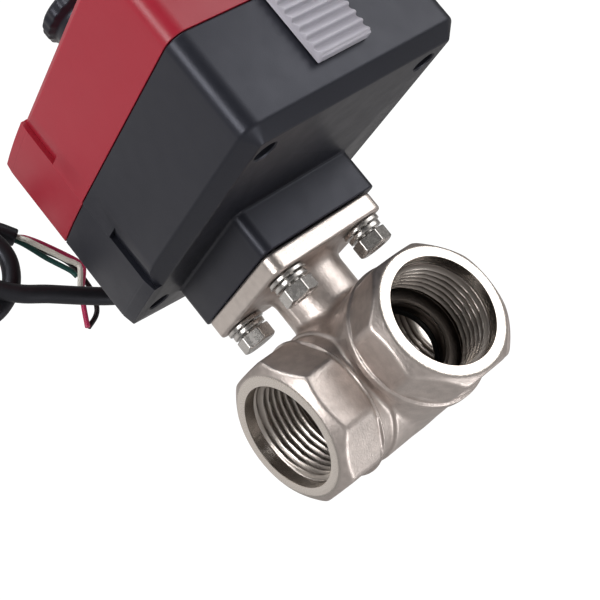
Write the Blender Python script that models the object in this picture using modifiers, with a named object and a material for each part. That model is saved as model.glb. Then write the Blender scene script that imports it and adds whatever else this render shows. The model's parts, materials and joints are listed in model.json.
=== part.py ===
"""Motorised three-way ball valve: plated brass valve body with a clutch-operated
electric actuator bolted on its square flange.

Frame: the origin is on the ground plane under the middle of the whole object's
box.  The design is drawn about the centre of the ball, where the stem axis
crosses the plane of the three ports, and one empty at BALL_CENTRE carries it
all.  +Z runs up the stem to the actuator, -Y (front) points out of the branch
port and out of the actuator face that carries the slide switch, and -X / +X
(left / right) point out of the two run ports.

Sizes are in millimetres; finished objects are in metres.
"""
import math

import bmesh
import bpy
from mathutils import Matrix, Vector

MM = 0.001
BALL_CENTRE = (13.955, 1.805, 17.3)
SIDES = (("left", -1), ("right", 1))
CORNER_TAGS = ("front_left", "front_right", "rear_left", "rear_right")

# ---------------------------------------------------------------- scene
for old in list(bpy.data.objects):
    bpy.data.objects.remove(old, do_unlink=True)

scene = bpy.context.scene
scene.unit_settings.system = "METRIC"
scene.unit_settings.scale_length = 1.0
PARTS = bpy.data.collections.new("motorized_valve_actuator")
CUTTERS = bpy.data.collections.new("cutters")
scene.collection.children.link(PARTS)
scene.collection.children.link(CUTTERS)


def material(name, colour, roughness, metallic=0.0):
    mat = bpy.data.materials.new(name)
    mat.use_nodes = True
    bsdf = next(n for n in mat.node_tree.nodes if n.type == "BSDF_PRINCIPLED")
    bsdf.inputs["Base Color"].default_value = (*colour, 1.0)
    bsdf.inputs["Roughness"].default_value = roughness
    bsdf.inputs["Metallic"].default_value = metallic
    mat.diffuse_color = (*colour, 1.0)
    return mat


NICKEL = material("nickel_plated_brass", (0.42, 0.38, 0.35), roughness=0.32, metallic=1.0)
STEEL = material("zinc_plated_steel", (0.5, 0.49, 0.47), roughness=0.3, metallic=1.0)
BLACK = material("black_abs", (0.022, 0.022, 0.027), roughness=0.42)
RED = material("red_abs", (0.42, 0.02, 0.035), roughness=0.4)
GREY = material("grey_abs", (0.36, 0.36, 0.4), roughness=0.5)
RUBBER = material("black_rubber", (0.015, 0.015, 0.016), roughness=0.7)
PTFE = material("white_ptfe", (0.8, 0.8, 0.78), roughness=0.5)
SEAT = material("carbon_filled_ptfe", (0.03, 0.03, 0.033), roughness=0.5)
POM = material("natural_acetal", (0.75, 0.74, 0.68), roughness=0.4)
CHROME = material("polished_ball", (0.6, 0.58, 0.55), roughness=0.12, metallic=1.0)
GREEN = material("circuit_board", (0.03, 0.16, 0.06), roughness=0.5)
WIRE_RED = material("wire_red", (0.5, 0.05, 0.12), roughness=0.45)
WIRE_WHITE = material("wire_white", (0.75, 0.74, 0.7), roughness=0.45)
WIRE_GREEN = material("wire_green", (0.02, 0.12, 0.1), roughness=0.45)
WIRE_BLACK = material("wire_black", (0.02, 0.02, 0.02), roughness=0.45)


# ---------------------------------------------------------------- solids
# In all of these, a solid without a material is a hidden helper for booleans.
def add_to_scene(obj, mat):
    if mat:
        obj.data.materials.append(mat)
        PARTS.objects.link(obj)
    else:
        CUTTERS.objects.link(obj)
        obj.hide_render = True
        obj.display_type = "WIRE"


def finish(name, bm, mat, origin=(0, 0, 0)):
    """Turn a bmesh in millimetres into an object in metres with its origin at `origin`."""
    bmesh.ops.recalc_face_normals(bm, faces=bm.faces)
    bmesh.ops.translate(bm, verts=bm.verts, vec=-Vector(origin))
    bmesh.ops.scale(bm, verts=bm.verts, vec=(MM, MM, MM))
    mesh = bpy.data.meshes.new(name)
    bm.to_mesh(mesh)
    bm.free()
    obj = bpy.data.objects.new(name, mesh)
    obj.location = Vector(origin) * MM
    add_to_scene(obj, mat)
    mesh.shade_smooth()
    mesh.set_sharp_from_angle(angle=math.radians(35))
    return obj


# rotations that carry +Z onto each axis
TURN = {
    "Z": Matrix.Identity(4),
    "X": Matrix.Rotation(math.radians(90), 4, "Y"),
    "Y": Matrix.Rotation(math.radians(-90), 4, "X"),
}


def axis_point(axis, along, at):
    """Point `along` an axis; `at` is the other two coordinates."""
    return {"Z": (*at, along), "X": (along, *at), "Y": (at[0], along, at[1])}[axis]


def cylinder(name, radius, ends, axis="Z", at=(0, 0), seg=24, top_radius=None, mat=None,
             phase=0.0, origin=None):
    """Cylinder, or cone with a top radius, between two places on an axis."""
    low, high = sorted(ends)
    middle = (low + high) / 2
    bm = bmesh.new()
    bmesh.ops.create_cone(bm, cap_ends=True, segments=seg, radius1=radius,
                          radius2=radius if top_radius is None else top_radius,
                          depth=high - low)
    spin = Matrix.Rotation(phase, 4, "Z")
    lift = Matrix.Translation((0, 0, middle))
    shift = Matrix.Translation(axis_point(axis, 0, at))
    bmesh.ops.transform(bm, verts=bm.verts, matrix=shift @ TURN[axis] @ lift @ spin)
    return finish(name, bm, mat, origin or axis_point(axis, middle, at))


def cylinders(name, radius, ends, places, seg):
    """Numbered upright helper cylinders, one at each (x, y)."""
    return [cylinder(f"{name}_{i}", radius, ends, at=place, seg=seg)
            for i, place in enumerate(places)]


def box(name, low, high, mat=None, corner_radius=0.0, origin=None):
    """Box between two corners, its upright edges rounded by `corner_radius`."""
    bm = bmesh.new()
    bmesh.ops.create_cube(bm, size=1.0)
    middle = [(h + l) / 2 for l, h in zip(low, high)]
    bmesh.ops.scale(bm, verts=bm.verts, vec=[h - l for l, h in zip(low, high)])
    bmesh.ops.translate(bm, verts=bm.verts, vec=middle)
    if corner_radius:
        edges = [e for e in bm.edges
                 if abs((e.verts[0].co - e.verts[1].co).normalized().z) > 0.9]
        bmesh.ops.bevel(bm, geom=edges, offset=corner_radius, segments=4,
                        affect="EDGES", profile=0.5)
    return finish(name, bm, mat, origin or middle)


def turned(name, profile, mat=None, at=(0, 0, 0), axis="Z", steps=24, flip=False):
    """(radius, height) points, outer side running down, swept by a Screw modifier.

    A profile clear of the axis at both ends is closed; `flip` gives a half turn about Z.
    """
    count = len(profile)
    edges = [(i, i + 1) for i in range(count - 1)]
    if profile[0][0] > 1e-6 and profile[-1][0] > 1e-6:
        edges.append((count - 1, 0))
    mesh = bpy.data.meshes.new(name)
    mesh.from_pydata([(r * MM, 0.0, h * MM) for r, h in profile], edges, [])
    obj = bpy.data.objects.new(name, mesh)
    placing = Matrix.Translation(Vector(at) * MM) @ TURN[axis]
    if flip:
        placing = Matrix.Rotation(math.pi, 4, "Z") @ placing
    obj.matrix_world = placing
    add_to_scene(obj, mat)
    screw = obj.modifiers.new("turn", "SCREW")
    screw.steps = screw.render_steps = steps
    screw.use_merge_vertices = True
    screw.merge_threshold = 0.00001
    screw.use_smooth_shade = False
    screw.use_normal_calculate = False
    return obj


def ring(name, radii, heights, mat=None, **placing):
    """Turned ring of rectangular section from (inner, outer) and (low, high)."""
    inner, outer = radii
    low, high = heights
    return turned(name, [(inner, high), (outer, high), (outer, low), (inner, low)],
                  mat, **placing)


def oring(name, radius, tube, z, steps):
    """Ring of hexagonal section."""
    angles = [math.pi / 6 - math.pi * k / 3 for k in range(6)]
    section = [(radius + tube * math.cos(t), z + tube * math.sin(t)) for t in angles]
    return turned(name, section, RUBBER, steps=steps)


def loft(name, rings, mat=None, origin=(0, 0, 0)):
    """Solid through plan outlines at rising heights: (outline points, z)."""
    bm = bmesh.new()
    loops = [[bm.verts.new((x, y, z)) for x, y in points] for points, z in rings]
    count = len(loops[0])
    for lower, upper in zip(loops, loops[1:]):
        for k in range(count):
            following = (k + 1) % count
            bm.faces.new((lower[k], lower[following], upper[following], upper[k]))
    bm.faces.new(loops[0])
    bm.faces.new(loops[-1])
    return finish(name, bm, mat, origin)


def poly_curve(name, dimensions, points):
    """Curve data with one straight-segment spline."""
    curve = bpy.data.curves.new(name, "CURVE")
    curve.dimensions = dimensions
    spline = curve.splines.new("POLY")
    spline.points.add(len(points) - 1)
    for point, (x, y, z) in zip(spline.points, points):
        point.co = (x * MM, y * MM, z * MM, 1)
    return curve


def curve_solid(name, curve, mat, origin=None, height=0.0):
    """Mesh object from a curve lifted to `height`; the default origin is mid-box."""
    obj = bpy.data.objects.new(name + "_path", curve)
    obj.location = (0, 0, height * MM)
    CUTTERS.objects.link(obj)
    bpy.context.view_layer.update()
    graph = bpy.context.evaluated_depsgraph_get()
    mesh = bpy.data.meshes.new_from_object(obj.evaluated_get(graph))
    mesh.transform(obj.matrix_world.copy())
    bpy.data.objects.remove(obj, do_unlink=True)
    bm = bmesh.new()
    bm.from_mesh(mesh)
    bpy.data.meshes.remove(mesh)
    bmesh.ops.remove_doubles(bm, verts=bm.verts, dist=1e-7)
    bmesh.ops.scale(bm, verts=bm.verts, vec=(1000, 1000, 1000))
    if origin is None:
        columns = list(zip(*(v.co for v in bm.verts)))
        origin = [(min(column) + max(column)) / 2 for column in columns]
    return finish(name, bm, mat, origin)


def boolean(obj, operation, *others):
    for other in others:
        mod = obj.modifiers.new(operation.lower(), "BOOLEAN")
        mod.operation = operation
        mod.solver = "EXACT"
        mod.object = other


def cut(obj, *others):
    boolean(obj, "DIFFERENCE", *others)


def join(obj, *others):
    boolean(obj, "UNION", *others)


# ---------------------------------------------------------------- valve body, G 3/4 ports
THREAD_MINOR_R = 12.06
THREAD_DEPTH = 16.0
PORT_BRANCH = 32.4          # ball centre to the branch port face
PORT_RUN = 31.0             # ball centre to each run port face
OCT_APOTHEM = 17.2          # half the distance across the octagon's flats
OCT_CORNER_R = OCT_APOTHEM / math.cos(math.pi / 8)
FACE_RING_R = 15.5          # turned end face
BARREL_R, BARREL_END = 17.3, 13.9
COLLAR_R, COLLAR_END = 16.4, 18.2
BORE_R = 9.0
CAVITY_R, CAVITY_END = 14.2, 13.0
SPIGOT_R, SPIGOT_GAP = 14.4, 0.3
CONNECTOR_INNER = 11.9      # ball centre to the inner end of a spigot
SEAT_POCKET_R, SEAT_POCKET_END = 10.9, 13.4
SEAT_RADII, SEAT_SPAN = (8.9, 10.6), (11.0, 13.1)
NECK_R = 10.0
STEM_BORE_R = 5.0
STEM_HEAD_BORE_R, STEM_HEAD_BORE_TOP = 7.3, 17.2
FLANGE_HALF, FLANGE_CORNER_R = 17.4, 3.2
FLANGE_Z0, FLANGE_Z1 = 28.7, 33.6
BOLT_OFFSET = 12.728        # half the side of the bolt square, 36 mm circle
BOLT_R = 2.35
BOLT_HOLE_R = 2.75
BOLT_PLACES = [(sx * BOLT_OFFSET, sy * BOLT_OFFSET) for sy in (-1, 1) for sx in (-1, 1)]


def octagon_bar(name, ends, axis, mat=None):
    return cylinder(name, OCT_CORNER_R, ends, axis, seg=8, phase=math.pi / 8, mat=mat,
                    origin=(0, 0, 0))


def end_turning(name, inner, outer, axis, flip):
    """The turned envelope that rounds both ends of an octagonal barrel."""
    edge = OCT_CORNER_R + 0.6
    rise = (edge - FACE_RING_R) * math.tan(math.radians(30))
    profile = [(0, outer), (FACE_RING_R, outer), (edge, outer - rise),
               (edge, inner + 2.2), (OCT_APOTHEM - 0.3, inner), (0, inner)]
    return turned(name, profile, axis=axis, flip=flip)


def port_cutters(label, axis, sign, face, bore_start):
    """Thread, bore and seat pocket of a port; `label` has a slot for the part."""
    parts = (
        ("thread", THREAD_MINOR_R, face + 1, face - THREAD_DEPTH),
        ("bore", BORE_R, 20, bore_start),
        ("seat_pocket", SEAT_POCKET_R, SEAT_POCKET_END, 5),
    )
    return [cylinder(label.format(part), radius, (sign * outer, sign * inner), axis)
            for part, radius, outer, inner in parts]


branch = octagon_bar("branch_octagon", (-PORT_BRANCH - 0.5, -13.0), "Y")
boolean(branch, "INTERSECT", end_turning("branch_turning", 15.0, PORT_BRANCH, "Y", flip=True))
neck_flare_profile = [
    (0, FLANGE_Z0 + 0.5), (13.2, FLANGE_Z0 + 0.5), (10.9, FLANGE_Z0 - 1.6),
    (9.6, FLANGE_Z0 - 5.0), (0, FLANGE_Z0 - 5.0)]

body = cylinder("valve_body", BARREL_R, (-BARREL_END, BARREL_END), "X", mat=NICKEL,
                origin=(0, 0, 0))
join(body,
     cylinder("collars", COLLAR_R, (-COLLAR_END, COLLAR_END), "X"),
     cylinder("branch_barrel", BARREL_R - 0.2, (-20.0, 15.5), "Y", phase=math.pi / 24),
     branch,
     cylinder("neck", NECK_R, (8.0, FLANGE_Z0 + 1.0)),
     turned("neck_flare", neck_flare_profile),
     box("flange", (-FLANGE_HALF, -FLANGE_HALF, FLANGE_Z0),
         (FLANGE_HALF, FLANGE_HALF, FLANGE_Z1), corner_radius=FLANGE_CORNER_R))
# the cavity and spigot bores are spun a little off the barrel's facets
cut(body,
    *port_cutters("branch_{}", "Y", -1, PORT_BRANCH, 0),
    cylinder("cavity", CAVITY_R, (-CAVITY_END, CAVITY_END), "X", phase=0.05),
    *[cylinder(f"spigot_{tag}", SPIGOT_R + SPIGOT_GAP,
               (side * 19, side * (CONNECTOR_INNER - 0.2)), "X", phase=0.03)
      for tag, side in SIDES],
    cylinder("stem_bore", STEM_BORE_R, (5, 40)),
    cylinder("stem_head_bore", STEM_HEAD_BORE_R, (5, STEM_HEAD_BORE_TOP)),
    *cylinders("flange_hole", BOLT_HOLE_R, (26, 36), BOLT_PLACES, seg=16))

# octagonal end connectors, each with a spigot into the body
for tag, side in SIDES:
    connector = octagon_bar(f"end_connector_{tag}", (side * (PORT_RUN + 0.5), side * 18.6),
                            "X", NICKEL)
    boolean(connector, "INTERSECT",
            end_turning(f"turning_{tag}", 18.5, PORT_RUN, "X", flip=side < 0))
    join(connector, cylinder(f"spigot_of_{tag}", SPIGOT_R,
                             (side * 19.5, side * CONNECTOR_INNER), "X"))
    cut(connector, *port_cutters("{}_" + tag, "X", side, PORT_RUN, 5))

# ---------------------------------------------------------------- ball, seats and stem
BALL_R = 13.8
BALL_BORE_R = 8.6
SLOT_HALF, SLOT_FLOOR = 2.6, 10.1
STEM_R = 4.6
STEM_HEAD_R, STEM_HEAD_TOP = 6.9, 16.4
TANG_HALF = (2.2, 6.4)      # x and y
SQUARE_HALF = 3.2
ORING_LEVELS = {"lower": 21.0, "upper": 26.0}

# ball with a through bore and a branch bore, driven by a slot on top
bm = bmesh.new()
bmesh.ops.create_uvsphere(bm, u_segments=20, v_segments=10, radius=BALL_R)
ball = finish("ball", bm, CHROME)
cut(ball,
    cylinder("ball_through", BALL_BORE_R, (-16, 16), "X", seg=20),
    cylinder("ball_branch", BALL_BORE_R, (-16, 0), "Y", seg=20),
    box("ball_slot", (-SLOT_HALF, -15, SLOT_FLOOR), (SLOT_HALF, 15, 16)))

# soft seats: rings between the ball and each port
for tag, axis, flip in (("left", "X", True), ("right", "X", False), ("branch", "Y", True)):
    ring(f"seat_{tag}", SEAT_RADII, SEAT_SPAN, SEAT, axis=axis, steps=18, flip=flip)

# stem: flat tang in the ball slot, collar under the neck shoulder, square top
stem = turned("valve_stem", [
    (0, 35.2), (STEM_R, 35.2), (STEM_R, STEM_HEAD_TOP), (STEM_HEAD_R, STEM_HEAD_TOP),
    (STEM_HEAD_R, 14.2), (0, 14.2)], STEEL, steps=16)
join(stem,
     box("stem_tang", (-TANG_HALF[0], -TANG_HALF[1], 10.6), (*TANG_HALF, 14.9)),
     box("stem_square", (-SQUARE_HALF, -SQUARE_HALF, 34.0), (SQUARE_HALF, SQUARE_HALF, 42.5)))
cut(stem, *[ring(f"oring_groove_{k}", (3.5, 6), (z - 1.0, z + 1.0), steps=12)
            for k, z in enumerate(ORING_LEVELS.values())])
ring("stem_thrust_washer", (5.2, 7.0), (16.6, 16.95), PTFE)
for tag, z in ORING_LEVELS.items():
    oring(f"stem_oring_{tag}", radius=4.25, tube=0.62, z=z, steps=14)

# ---------------------------------------------------------------- flange bolts and washers
HEX_AF = 8.0                # across the flats of the bolt head
HEX_CORNER_R = HEX_AF / 2 / math.cos(math.pi / 6)
BOLT_HEAD_Z = (21.9, 25.5)
BOLT_SHANK_Z = (24.5, 41.5)

for tag, at in zip(CORNER_TAGS, BOLT_PLACES):
    bolt = cylinder(f"flange_bolt_{tag}", HEX_CORNER_R, BOLT_HEAD_Z, at=at, seg=6, mat=STEEL,
                    phase=math.radians(20), origin=(*at, BOLT_HEAD_Z[1]))
    join(bolt, cylinder(f"bolt_shank_{tag}", BOLT_R, BOLT_SHANK_Z, at=at, seg=16))
    ring(f"spring_washer_{tag}", (2.8, 4.4), (25.8, 27.1), STEEL, at=(*at, 0), steps=12)
    ring(f"flat_washer_{tag}", (2.8, 4.9), (27.4, 28.4), STEEL, at=(*at, 0), steps=14)

# ---------------------------------------------------------------- housing
HALF_W = 32.2
FRONT_Y = -58.7
FRONT_R = 4.2
SEAM_Y = 5.3                # where the flanks start to draw in
CORNER_X, CORNER_Y = 29.9, 24.4
BACK_Y, BACK_HALF = 31.2, 8.5
CHAMFER, TAIL_CHAMFER = 3.3, 2.1
WALL = 2.4
BASE_Z, PART_Z, TOP_Z = 44.9, 71.2, 95.6
PART_GAP = 0.15             # each half stops this far from PART_Z
LOWER_TOP = PART_Z - PART_GAP
PED_X, PED_Y, PED_Z0 = 17.5, 18.4, 33.9
PED_CORNER_R = 2.8
SCREWS = ((-25.0, -50.0), (25.0, -50.0), (-24.3, 18.4), (24.3, 18.4))
BOSS_R = 4.3
SCREW_HEAD_Z = BASE_Z + 2.1
NOTCH_DEPTH, NOTCH_LENGTH = 1.9, 5.2
CABLE_Z = 59.0              # where the cable leaves the back
KNOB_R = 12.9
KNOB_Z0, KNOB_Z1 = 103.6, 114.6


def outline(inset=0.0, tail_inset=None):
    """Plan outline of the housing, counter-clockwise, moved inwards by `inset`.

    The flanks are flat as far as the seam, then draw in gently to a back corner,
    and the back is a shallow point with a flat in its middle.  The part behind
    the seam can have an inset of its own.
    """
    half = HALF_W - inset
    front = FRONT_Y + inset
    tail = inset if tail_inset is None else tail_inset
    radius = max(FRONT_R - inset, 0.6)
    points = []
    for k in range(6):
        angle = math.pi * 1.5 + k * math.pi / 10
        points.append((half - radius + radius * math.cos(angle),
                       front + radius + radius * math.sin(angle)))
    points.append((half, SEAM_Y))
    for k in range(5):
        s = k / 4
        draw_in = s ** 1.9
        points.append(((HALF_W - 0.45) * (1 - draw_in) + CORNER_X * draw_in - tail,
                       SEAM_Y + 0.01 + (CORNER_Y - SEAM_Y - 0.35 * tail) * s))
    points.append((CORNER_X - 1.6 - 0.7 * tail, CORNER_Y + 1.25 - 0.75 * tail))
    points.append((BACK_HALF, BACK_Y - tail))
    return points + [(-x, y) for x, y in reversed(points)]


def housing_solid(name, levels, mat=None):
    """Loft through rows of (z, inset) or (z, inset, tail inset)."""
    return loft(name, [(outline(*insets), z) for z, *insets in levels], mat)


def seam_notches(level, z0, z1):
    """Wedge-shaped reliefs cut in both flanks, deepest at the seam."""
    notches = []
    for tag, side in SIDES:
        outside = side * (HALF_W + 0.5)
        plan = [(outside, SEAM_Y + 0.25), (side * (HALF_W - NOTCH_DEPTH), SEAM_Y + 0.25),
                (side * (HALF_W + 0.02), SEAM_Y - NOTCH_LENGTH),
                (outside, SEAM_Y - NOTCH_LENGTH)]
        notches.append(loft(f"notch_{level}_{tag}", [(plan, z0), (plan, z1)],
                            origin=(side * HALF_W, SEAM_Y, (z0 + z1) / 2)))
    return notches


# lower half: chamfered bottom edge, shallower round the tail, on a pedestal
housing = housing_solid("lower_housing", [
    (BASE_Z, CHAMFER, TAIL_CHAMFER), (BASE_Z + CHAMFER, 0.0), (LOWER_TOP, 0.0)], BLACK)
join(housing, box("pedestal", (-PED_X, -PED_Y, PED_Z0), (PED_X, PED_Y, BASE_Z + 1.0),
                  corner_radius=PED_CORNER_R))
cut(housing, housing_solid("lower_cavity", [
    (BASE_Z + 2.2, CHAMFER + WALL), (BASE_Z + CHAMFER + 1.0, WALL), (PART_Z + 5, WALL)]))
join(housing, *cylinders("lower_boss", BOSS_R, (BASE_Z + 1.0, LOWER_TOP - 0.2), SCREWS, seg=14))
cut(housing,
    housing_solid("gasket_rebate", [(PART_Z - 1.35, 0.75), (PART_Z + 5, 0.75)]),
    *cylinders("screw_recess", 2.7, (BASE_Z - 1, BASE_Z + 4.2), SCREWS, seg=14),
    *cylinders("screw_way", 1.9, (BASE_Z, PART_Z + 1), SCREWS, seg=10),
    *cylinders("bolt_way", BOLT_R + 0.3, (PED_Z0 - 1, 43.0), BOLT_PLACES, seg=16),
    cylinder("coupler_way", 8.0, (PED_Z0 - 1, BASE_Z + 4)),
    box("slide_slot", (-3.6, FRONT_Y - 2, 59.6), (3.6, FRONT_Y + WALL + 2, 70.4)),
    cylinder("gland_way", 4.9, (BACK_Y - 6, BACK_Y + 2), "Y", at=(0, CABLE_Z)),
    *seam_notches("low", 44.0, 61.0))

# cover with the turret that stands under the knob
cover = housing_solid("upper_cover", [
    (PART_Z + PART_GAP, 0.0), (TOP_Z - CHAMFER, 0.0), (TOP_Z, CHAMFER, TAIL_CHAMFER)], RED)
join(cover, cylinder("knob_turret", 12.2, (TOP_Z - 1.0, KNOB_Z0 - 0.4), top_radius=11.6))
cut(cover, housing_solid("cover_cavity", [
    (PART_Z - 5, WALL), (TOP_Z - CHAMFER - 1.0, WALL), (TOP_Z - 2.2, CHAMFER + WALL)]))
join(cover, *cylinders("cover_boss", BOSS_R, (PART_Z + 0.4, TOP_Z - 1.0), SCREWS, seg=14))
cut(cover,
    *cylinders("cover_screw", 1.75, (PART_Z - 1, 84.0), SCREWS, seg=10),
    cylinder("shaft_way", 7.2, (TOP_Z - 5, KNOB_Z0 + 1)),
    *seam_notches("high", 82.5, 97.0))

gasket = housing_solid("housing_gasket", [(PART_Z - 1.05, 1.05), (LOWER_TOP, 1.05)], RUBBER)
cut(gasket, housing_solid("gasket_inner", [(PART_Z - 2, 2.2), (PART_Z + 1, 2.2)]))

# cross-head screws driven up through the bosses
for i, (tag, (x, y)) in enumerate(zip(CORNER_TAGS, SCREWS)):
    screw = cylinder(f"housing_screw_{tag}", 2.4, (SCREW_HEAD_Z, BASE_Z + 3.9), at=(x, y),
                     seg=12, mat=STEEL, origin=(x, y, SCREW_HEAD_Z))
    join(screw, cylinder(f"screw_shank_{i}", 1.45, (BASE_Z + 3.0, 82.0), at=(x, y), seg=8))
    cut(screw, *[box(f"cross_{arm}_{i}", (x - half_x, y - half_y, BASE_Z + 1.5),
                     (x + half_x, y + half_y, BASE_Z + depth))
                 for arm, half_x, half_y, depth in (("a", 1.7, 0.35, 3.0),
                                                    ("b", 0.35, 1.7, 2.95))])

# ---------------------------------------------------------------- output shaft
shaft = turned("output_shaft", [
    (0, 112.6), (3.6, 112.6), (3.6, 100.0), (4.8, 100.0), (4.8, 56.6), (5.4, 56.6),
    (5.4, 49.6), (6.3, 49.6), (6.3, 46.2), (7.6, 46.2), (7.6, 34.6), (0, 34.6)],
    STEEL, steps=16)
cut(shaft, box("coupler_socket", (-3.55, -3.55, 33.4), (3.55, 3.55, 43.2)),
    cylinder("coupler_mouth", 5.0, (33, 35.7)))
ring("shaft_bush_lower", (6.7, 7.75), (46.6, 49.2), POM, steps=20)
ring("shaft_bush_upper", (5.15, 6.85), (TOP_Z - 1.5, KNOB_Z0 - 1.2), POM)

# ---------------------------------------------------------------- gear train
# Three meshes on parallel axes, from the output gear back to the motor pinion.
OUT_MODULE, OUT_TEETH, THIRD_PINION_TEETH = 4.0 / 3.0, 33, 9
MID_MODULE, THIRD_WHEEL_TEETH, SECOND_PINION_TEETH = 1.0, 24, 8
MOTOR_MODULE, SECOND_WHEEL_TEETH, MOTOR_PINION_TEETH = 0.75, 24, 8
# plan direction from each axis to the next
TO_THIRD = math.radians(-70.0)
TO_SECOND = math.radians(216.0)
TO_MOTOR = math.radians(180.0)
# tooth form: heights in modules, widths in pitches
ADDENDUM, DEDENDUM = 0.8, 1.1
TOOTH_WIDTH, ROOT_SPREAD, TIP_DRAW = 0.40, 0.09, 0.105


def meshing_axis(start, module, wheel, pinion, angle):
    """Plan position of the axis whose gear meshes with the one at `start`."""
    distance = module * (wheel + pinion) / 2
    return (start[0] + distance * math.cos(angle), start[1] + distance * math.sin(angle))


THIRD_AXIS = meshing_axis((0, 0), OUT_MODULE, OUT_TEETH, THIRD_PINION_TEETH, TO_THIRD)
SECOND_AXIS = meshing_axis(THIRD_AXIS, MID_MODULE, THIRD_WHEEL_TEETH, SECOND_PINION_TEETH,
                           TO_SECOND)
MOTOR_AXIS = meshing_axis(SECOND_AXIS, MOTOR_MODULE, SECOND_WHEEL_TEETH, MOTOR_PINION_TEETH,
                          TO_MOTOR)


def gear(name, module, teeth, phase, centre, z0, z1, mat=None, origin_z=None):
    """Spur gear: straight-flanked teeth with running clearance."""
    pitch_r = module * teeth / 2
    tip_r, root_r = pitch_r + ADDENDUM * module, pitch_r - DEDENDUM * module
    pitch = 2 * math.pi / teeth
    half_root = pitch * (TOOTH_WIDTH / 2 + ROOT_SPREAD * pitch_r / root_r)
    half_tip = pitch * (TOOTH_WIDTH / 2 - TIP_DRAW)
    points = []
    for k in range(teeth):
        for r, offset in ((root_r, -half_root), (tip_r, -half_tip),
                          (tip_r, half_tip), (root_r, half_root)):
            angle = phase + k * pitch + offset
            points.append((centre[0] + r * math.cos(angle), centre[1] + r * math.sin(angle), 0))
    curve = poly_curve(name, "2D", points)
    curve.fill_mode = "BOTH"
    curve.extrude = (z1 - z0) / 2 * MM
    curve.splines[0].use_cyclic_u = True
    origin = None if origin_z is None else (*centre, origin_z)
    return curve_solid(name, curve, mat, origin, height=(z0 + z1) / 2)


def pinion_phase(angle, teeth):
    """Phase that turns a tooth gap back towards the wheel it meshes with."""
    return angle + math.pi + math.pi / teeth


output_gear = gear("output_gear", OUT_MODULE, OUT_TEETH, TO_THIRD, (0, 0), 50.0, 55.6,
                   POM, origin_z=52.8)
cut(output_gear, cylinder("output_gear_bore", 5.7, (48, 58)))
ring("limit_cam", (5.1, 9.4), (68.6, 72.4), POM, steps=20)

third_gear = gear("third_gear", OUT_MODULE, THIRD_PINION_TEETH,
                  pinion_phase(TO_THIRD, THIRD_PINION_TEETH), THIRD_AXIS, 49.6, 57.4,
                  POM, origin_z=54.0)
join(third_gear, gear("third_wheel", MID_MODULE, THIRD_WHEEL_TEETH, TO_SECOND, THIRD_AXIS,
                      56.4, 59.6))
cut(third_gear, cylinder("third_bore", 1.8, (48, 62), at=THIRD_AXIS, seg=16))

second_gear = gear("second_gear", MID_MODULE, SECOND_PINION_TEETH,
                   pinion_phase(TO_SECOND, SECOND_PINION_TEETH), SECOND_AXIS, 56.2, 61.4,
                   POM, origin_z=59.0)
join(second_gear, gear("second_wheel", MOTOR_MODULE, SECOND_WHEEL_TEETH, TO_MOTOR, SECOND_AXIS,
                       60.4, 63.0))
cut(second_gear, cylinder("second_bore", 1.5, (48, 66), at=SECOND_AXIS, seg=16))

pinion = gear("motor_pinion", MOTOR_MODULE, MOTOR_PINION_TEETH,
              pinion_phase(TO_MOTOR, MOTOR_PINION_TEETH), MOTOR_AXIS, 60.2, 63.4,
              STEEL, origin_z=62.0)
join(pinion, cylinder("motor_shaft", 1.2, (59.8, 72.0), at=MOTOR_AXIS, seg=14))

# ---------------------------------------------------------------- pins, plates and motor
THIRD_PIN_R, SECOND_PIN_R, PIN_GAP = 1.45, 1.15, 0.3
BASE_PLATE_Z = (47.4, 48.8)
TOP_PLATE_Z = (63.9, 65.3)
PLATE_FRONT = -45.0
PIN_Z = (BASE_PLATE_Z[0], 65.2)
PILLARS = [(x, y) for y in (-42.6, 11.0) for x in (-23.7, 23.7)]


def pin_holes(plate, ends):
    return [cylinder(f"{plate}_pin{number}", radius + PIN_GAP, ends, at=at, seg=14)
            for number, radius, at in ((3, THIRD_PIN_R, THIRD_AXIS),
                                       (2, SECOND_PIN_R, SECOND_AXIS))]


cylinder("third_gear_pin", THIRD_PIN_R, PIN_Z, at=THIRD_AXIS, seg=14, mat=STEEL)
cylinder("second_gear_pin", SECOND_PIN_R, PIN_Z, at=SECOND_AXIS, seg=14, mat=STEEL)

base_plate = box("gear_base_plate", (-26.0, PLATE_FRONT, BASE_PLATE_Z[0]),
                 (26.0, 13.6, BASE_PLATE_Z[1]), STEEL)
join(base_plate, *cylinders("pillar", 2.0, (48.0, 63.6), PILLARS, seg=16))
cut(base_plate, cylinder("base_shaft_hole", 8.05, (46, 50)), *pin_holes("base", (46, 50)))

top_plate = box("gear_top_plate", (-28.4, PLATE_FRONT, TOP_PLATE_Z[0]),
                (28.4, 13.4, TOP_PLATE_Z[1]), STEEL)
cut(top_plate, cylinder("top_shaft_hole", 6.2, (62, 67)), *pin_holes("top", (62, 67)),
    cylinder("top_motor_hole", 3.4, (62, 67), at=MOTOR_AXIS, seg=20))

motor = turned("motor", [
    (0, 91.2), (2.2, 91.2), (2.2, 89.8), (11.2, 89.8), (12.2, 88.8), (12.2, 65.6), (0, 65.6)],
    STEEL, at=(*MOTOR_AXIS, 0))
cut(motor, cylinder("motor_bearing", 1.55, (64, 73), at=MOTOR_AXIS, seg=14))

# ---------------------------------------------------------------- board and limit switches
SWITCH_X = 15.6
SWITCH_HALF = (3.0, 6.4)    # x and y

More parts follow.
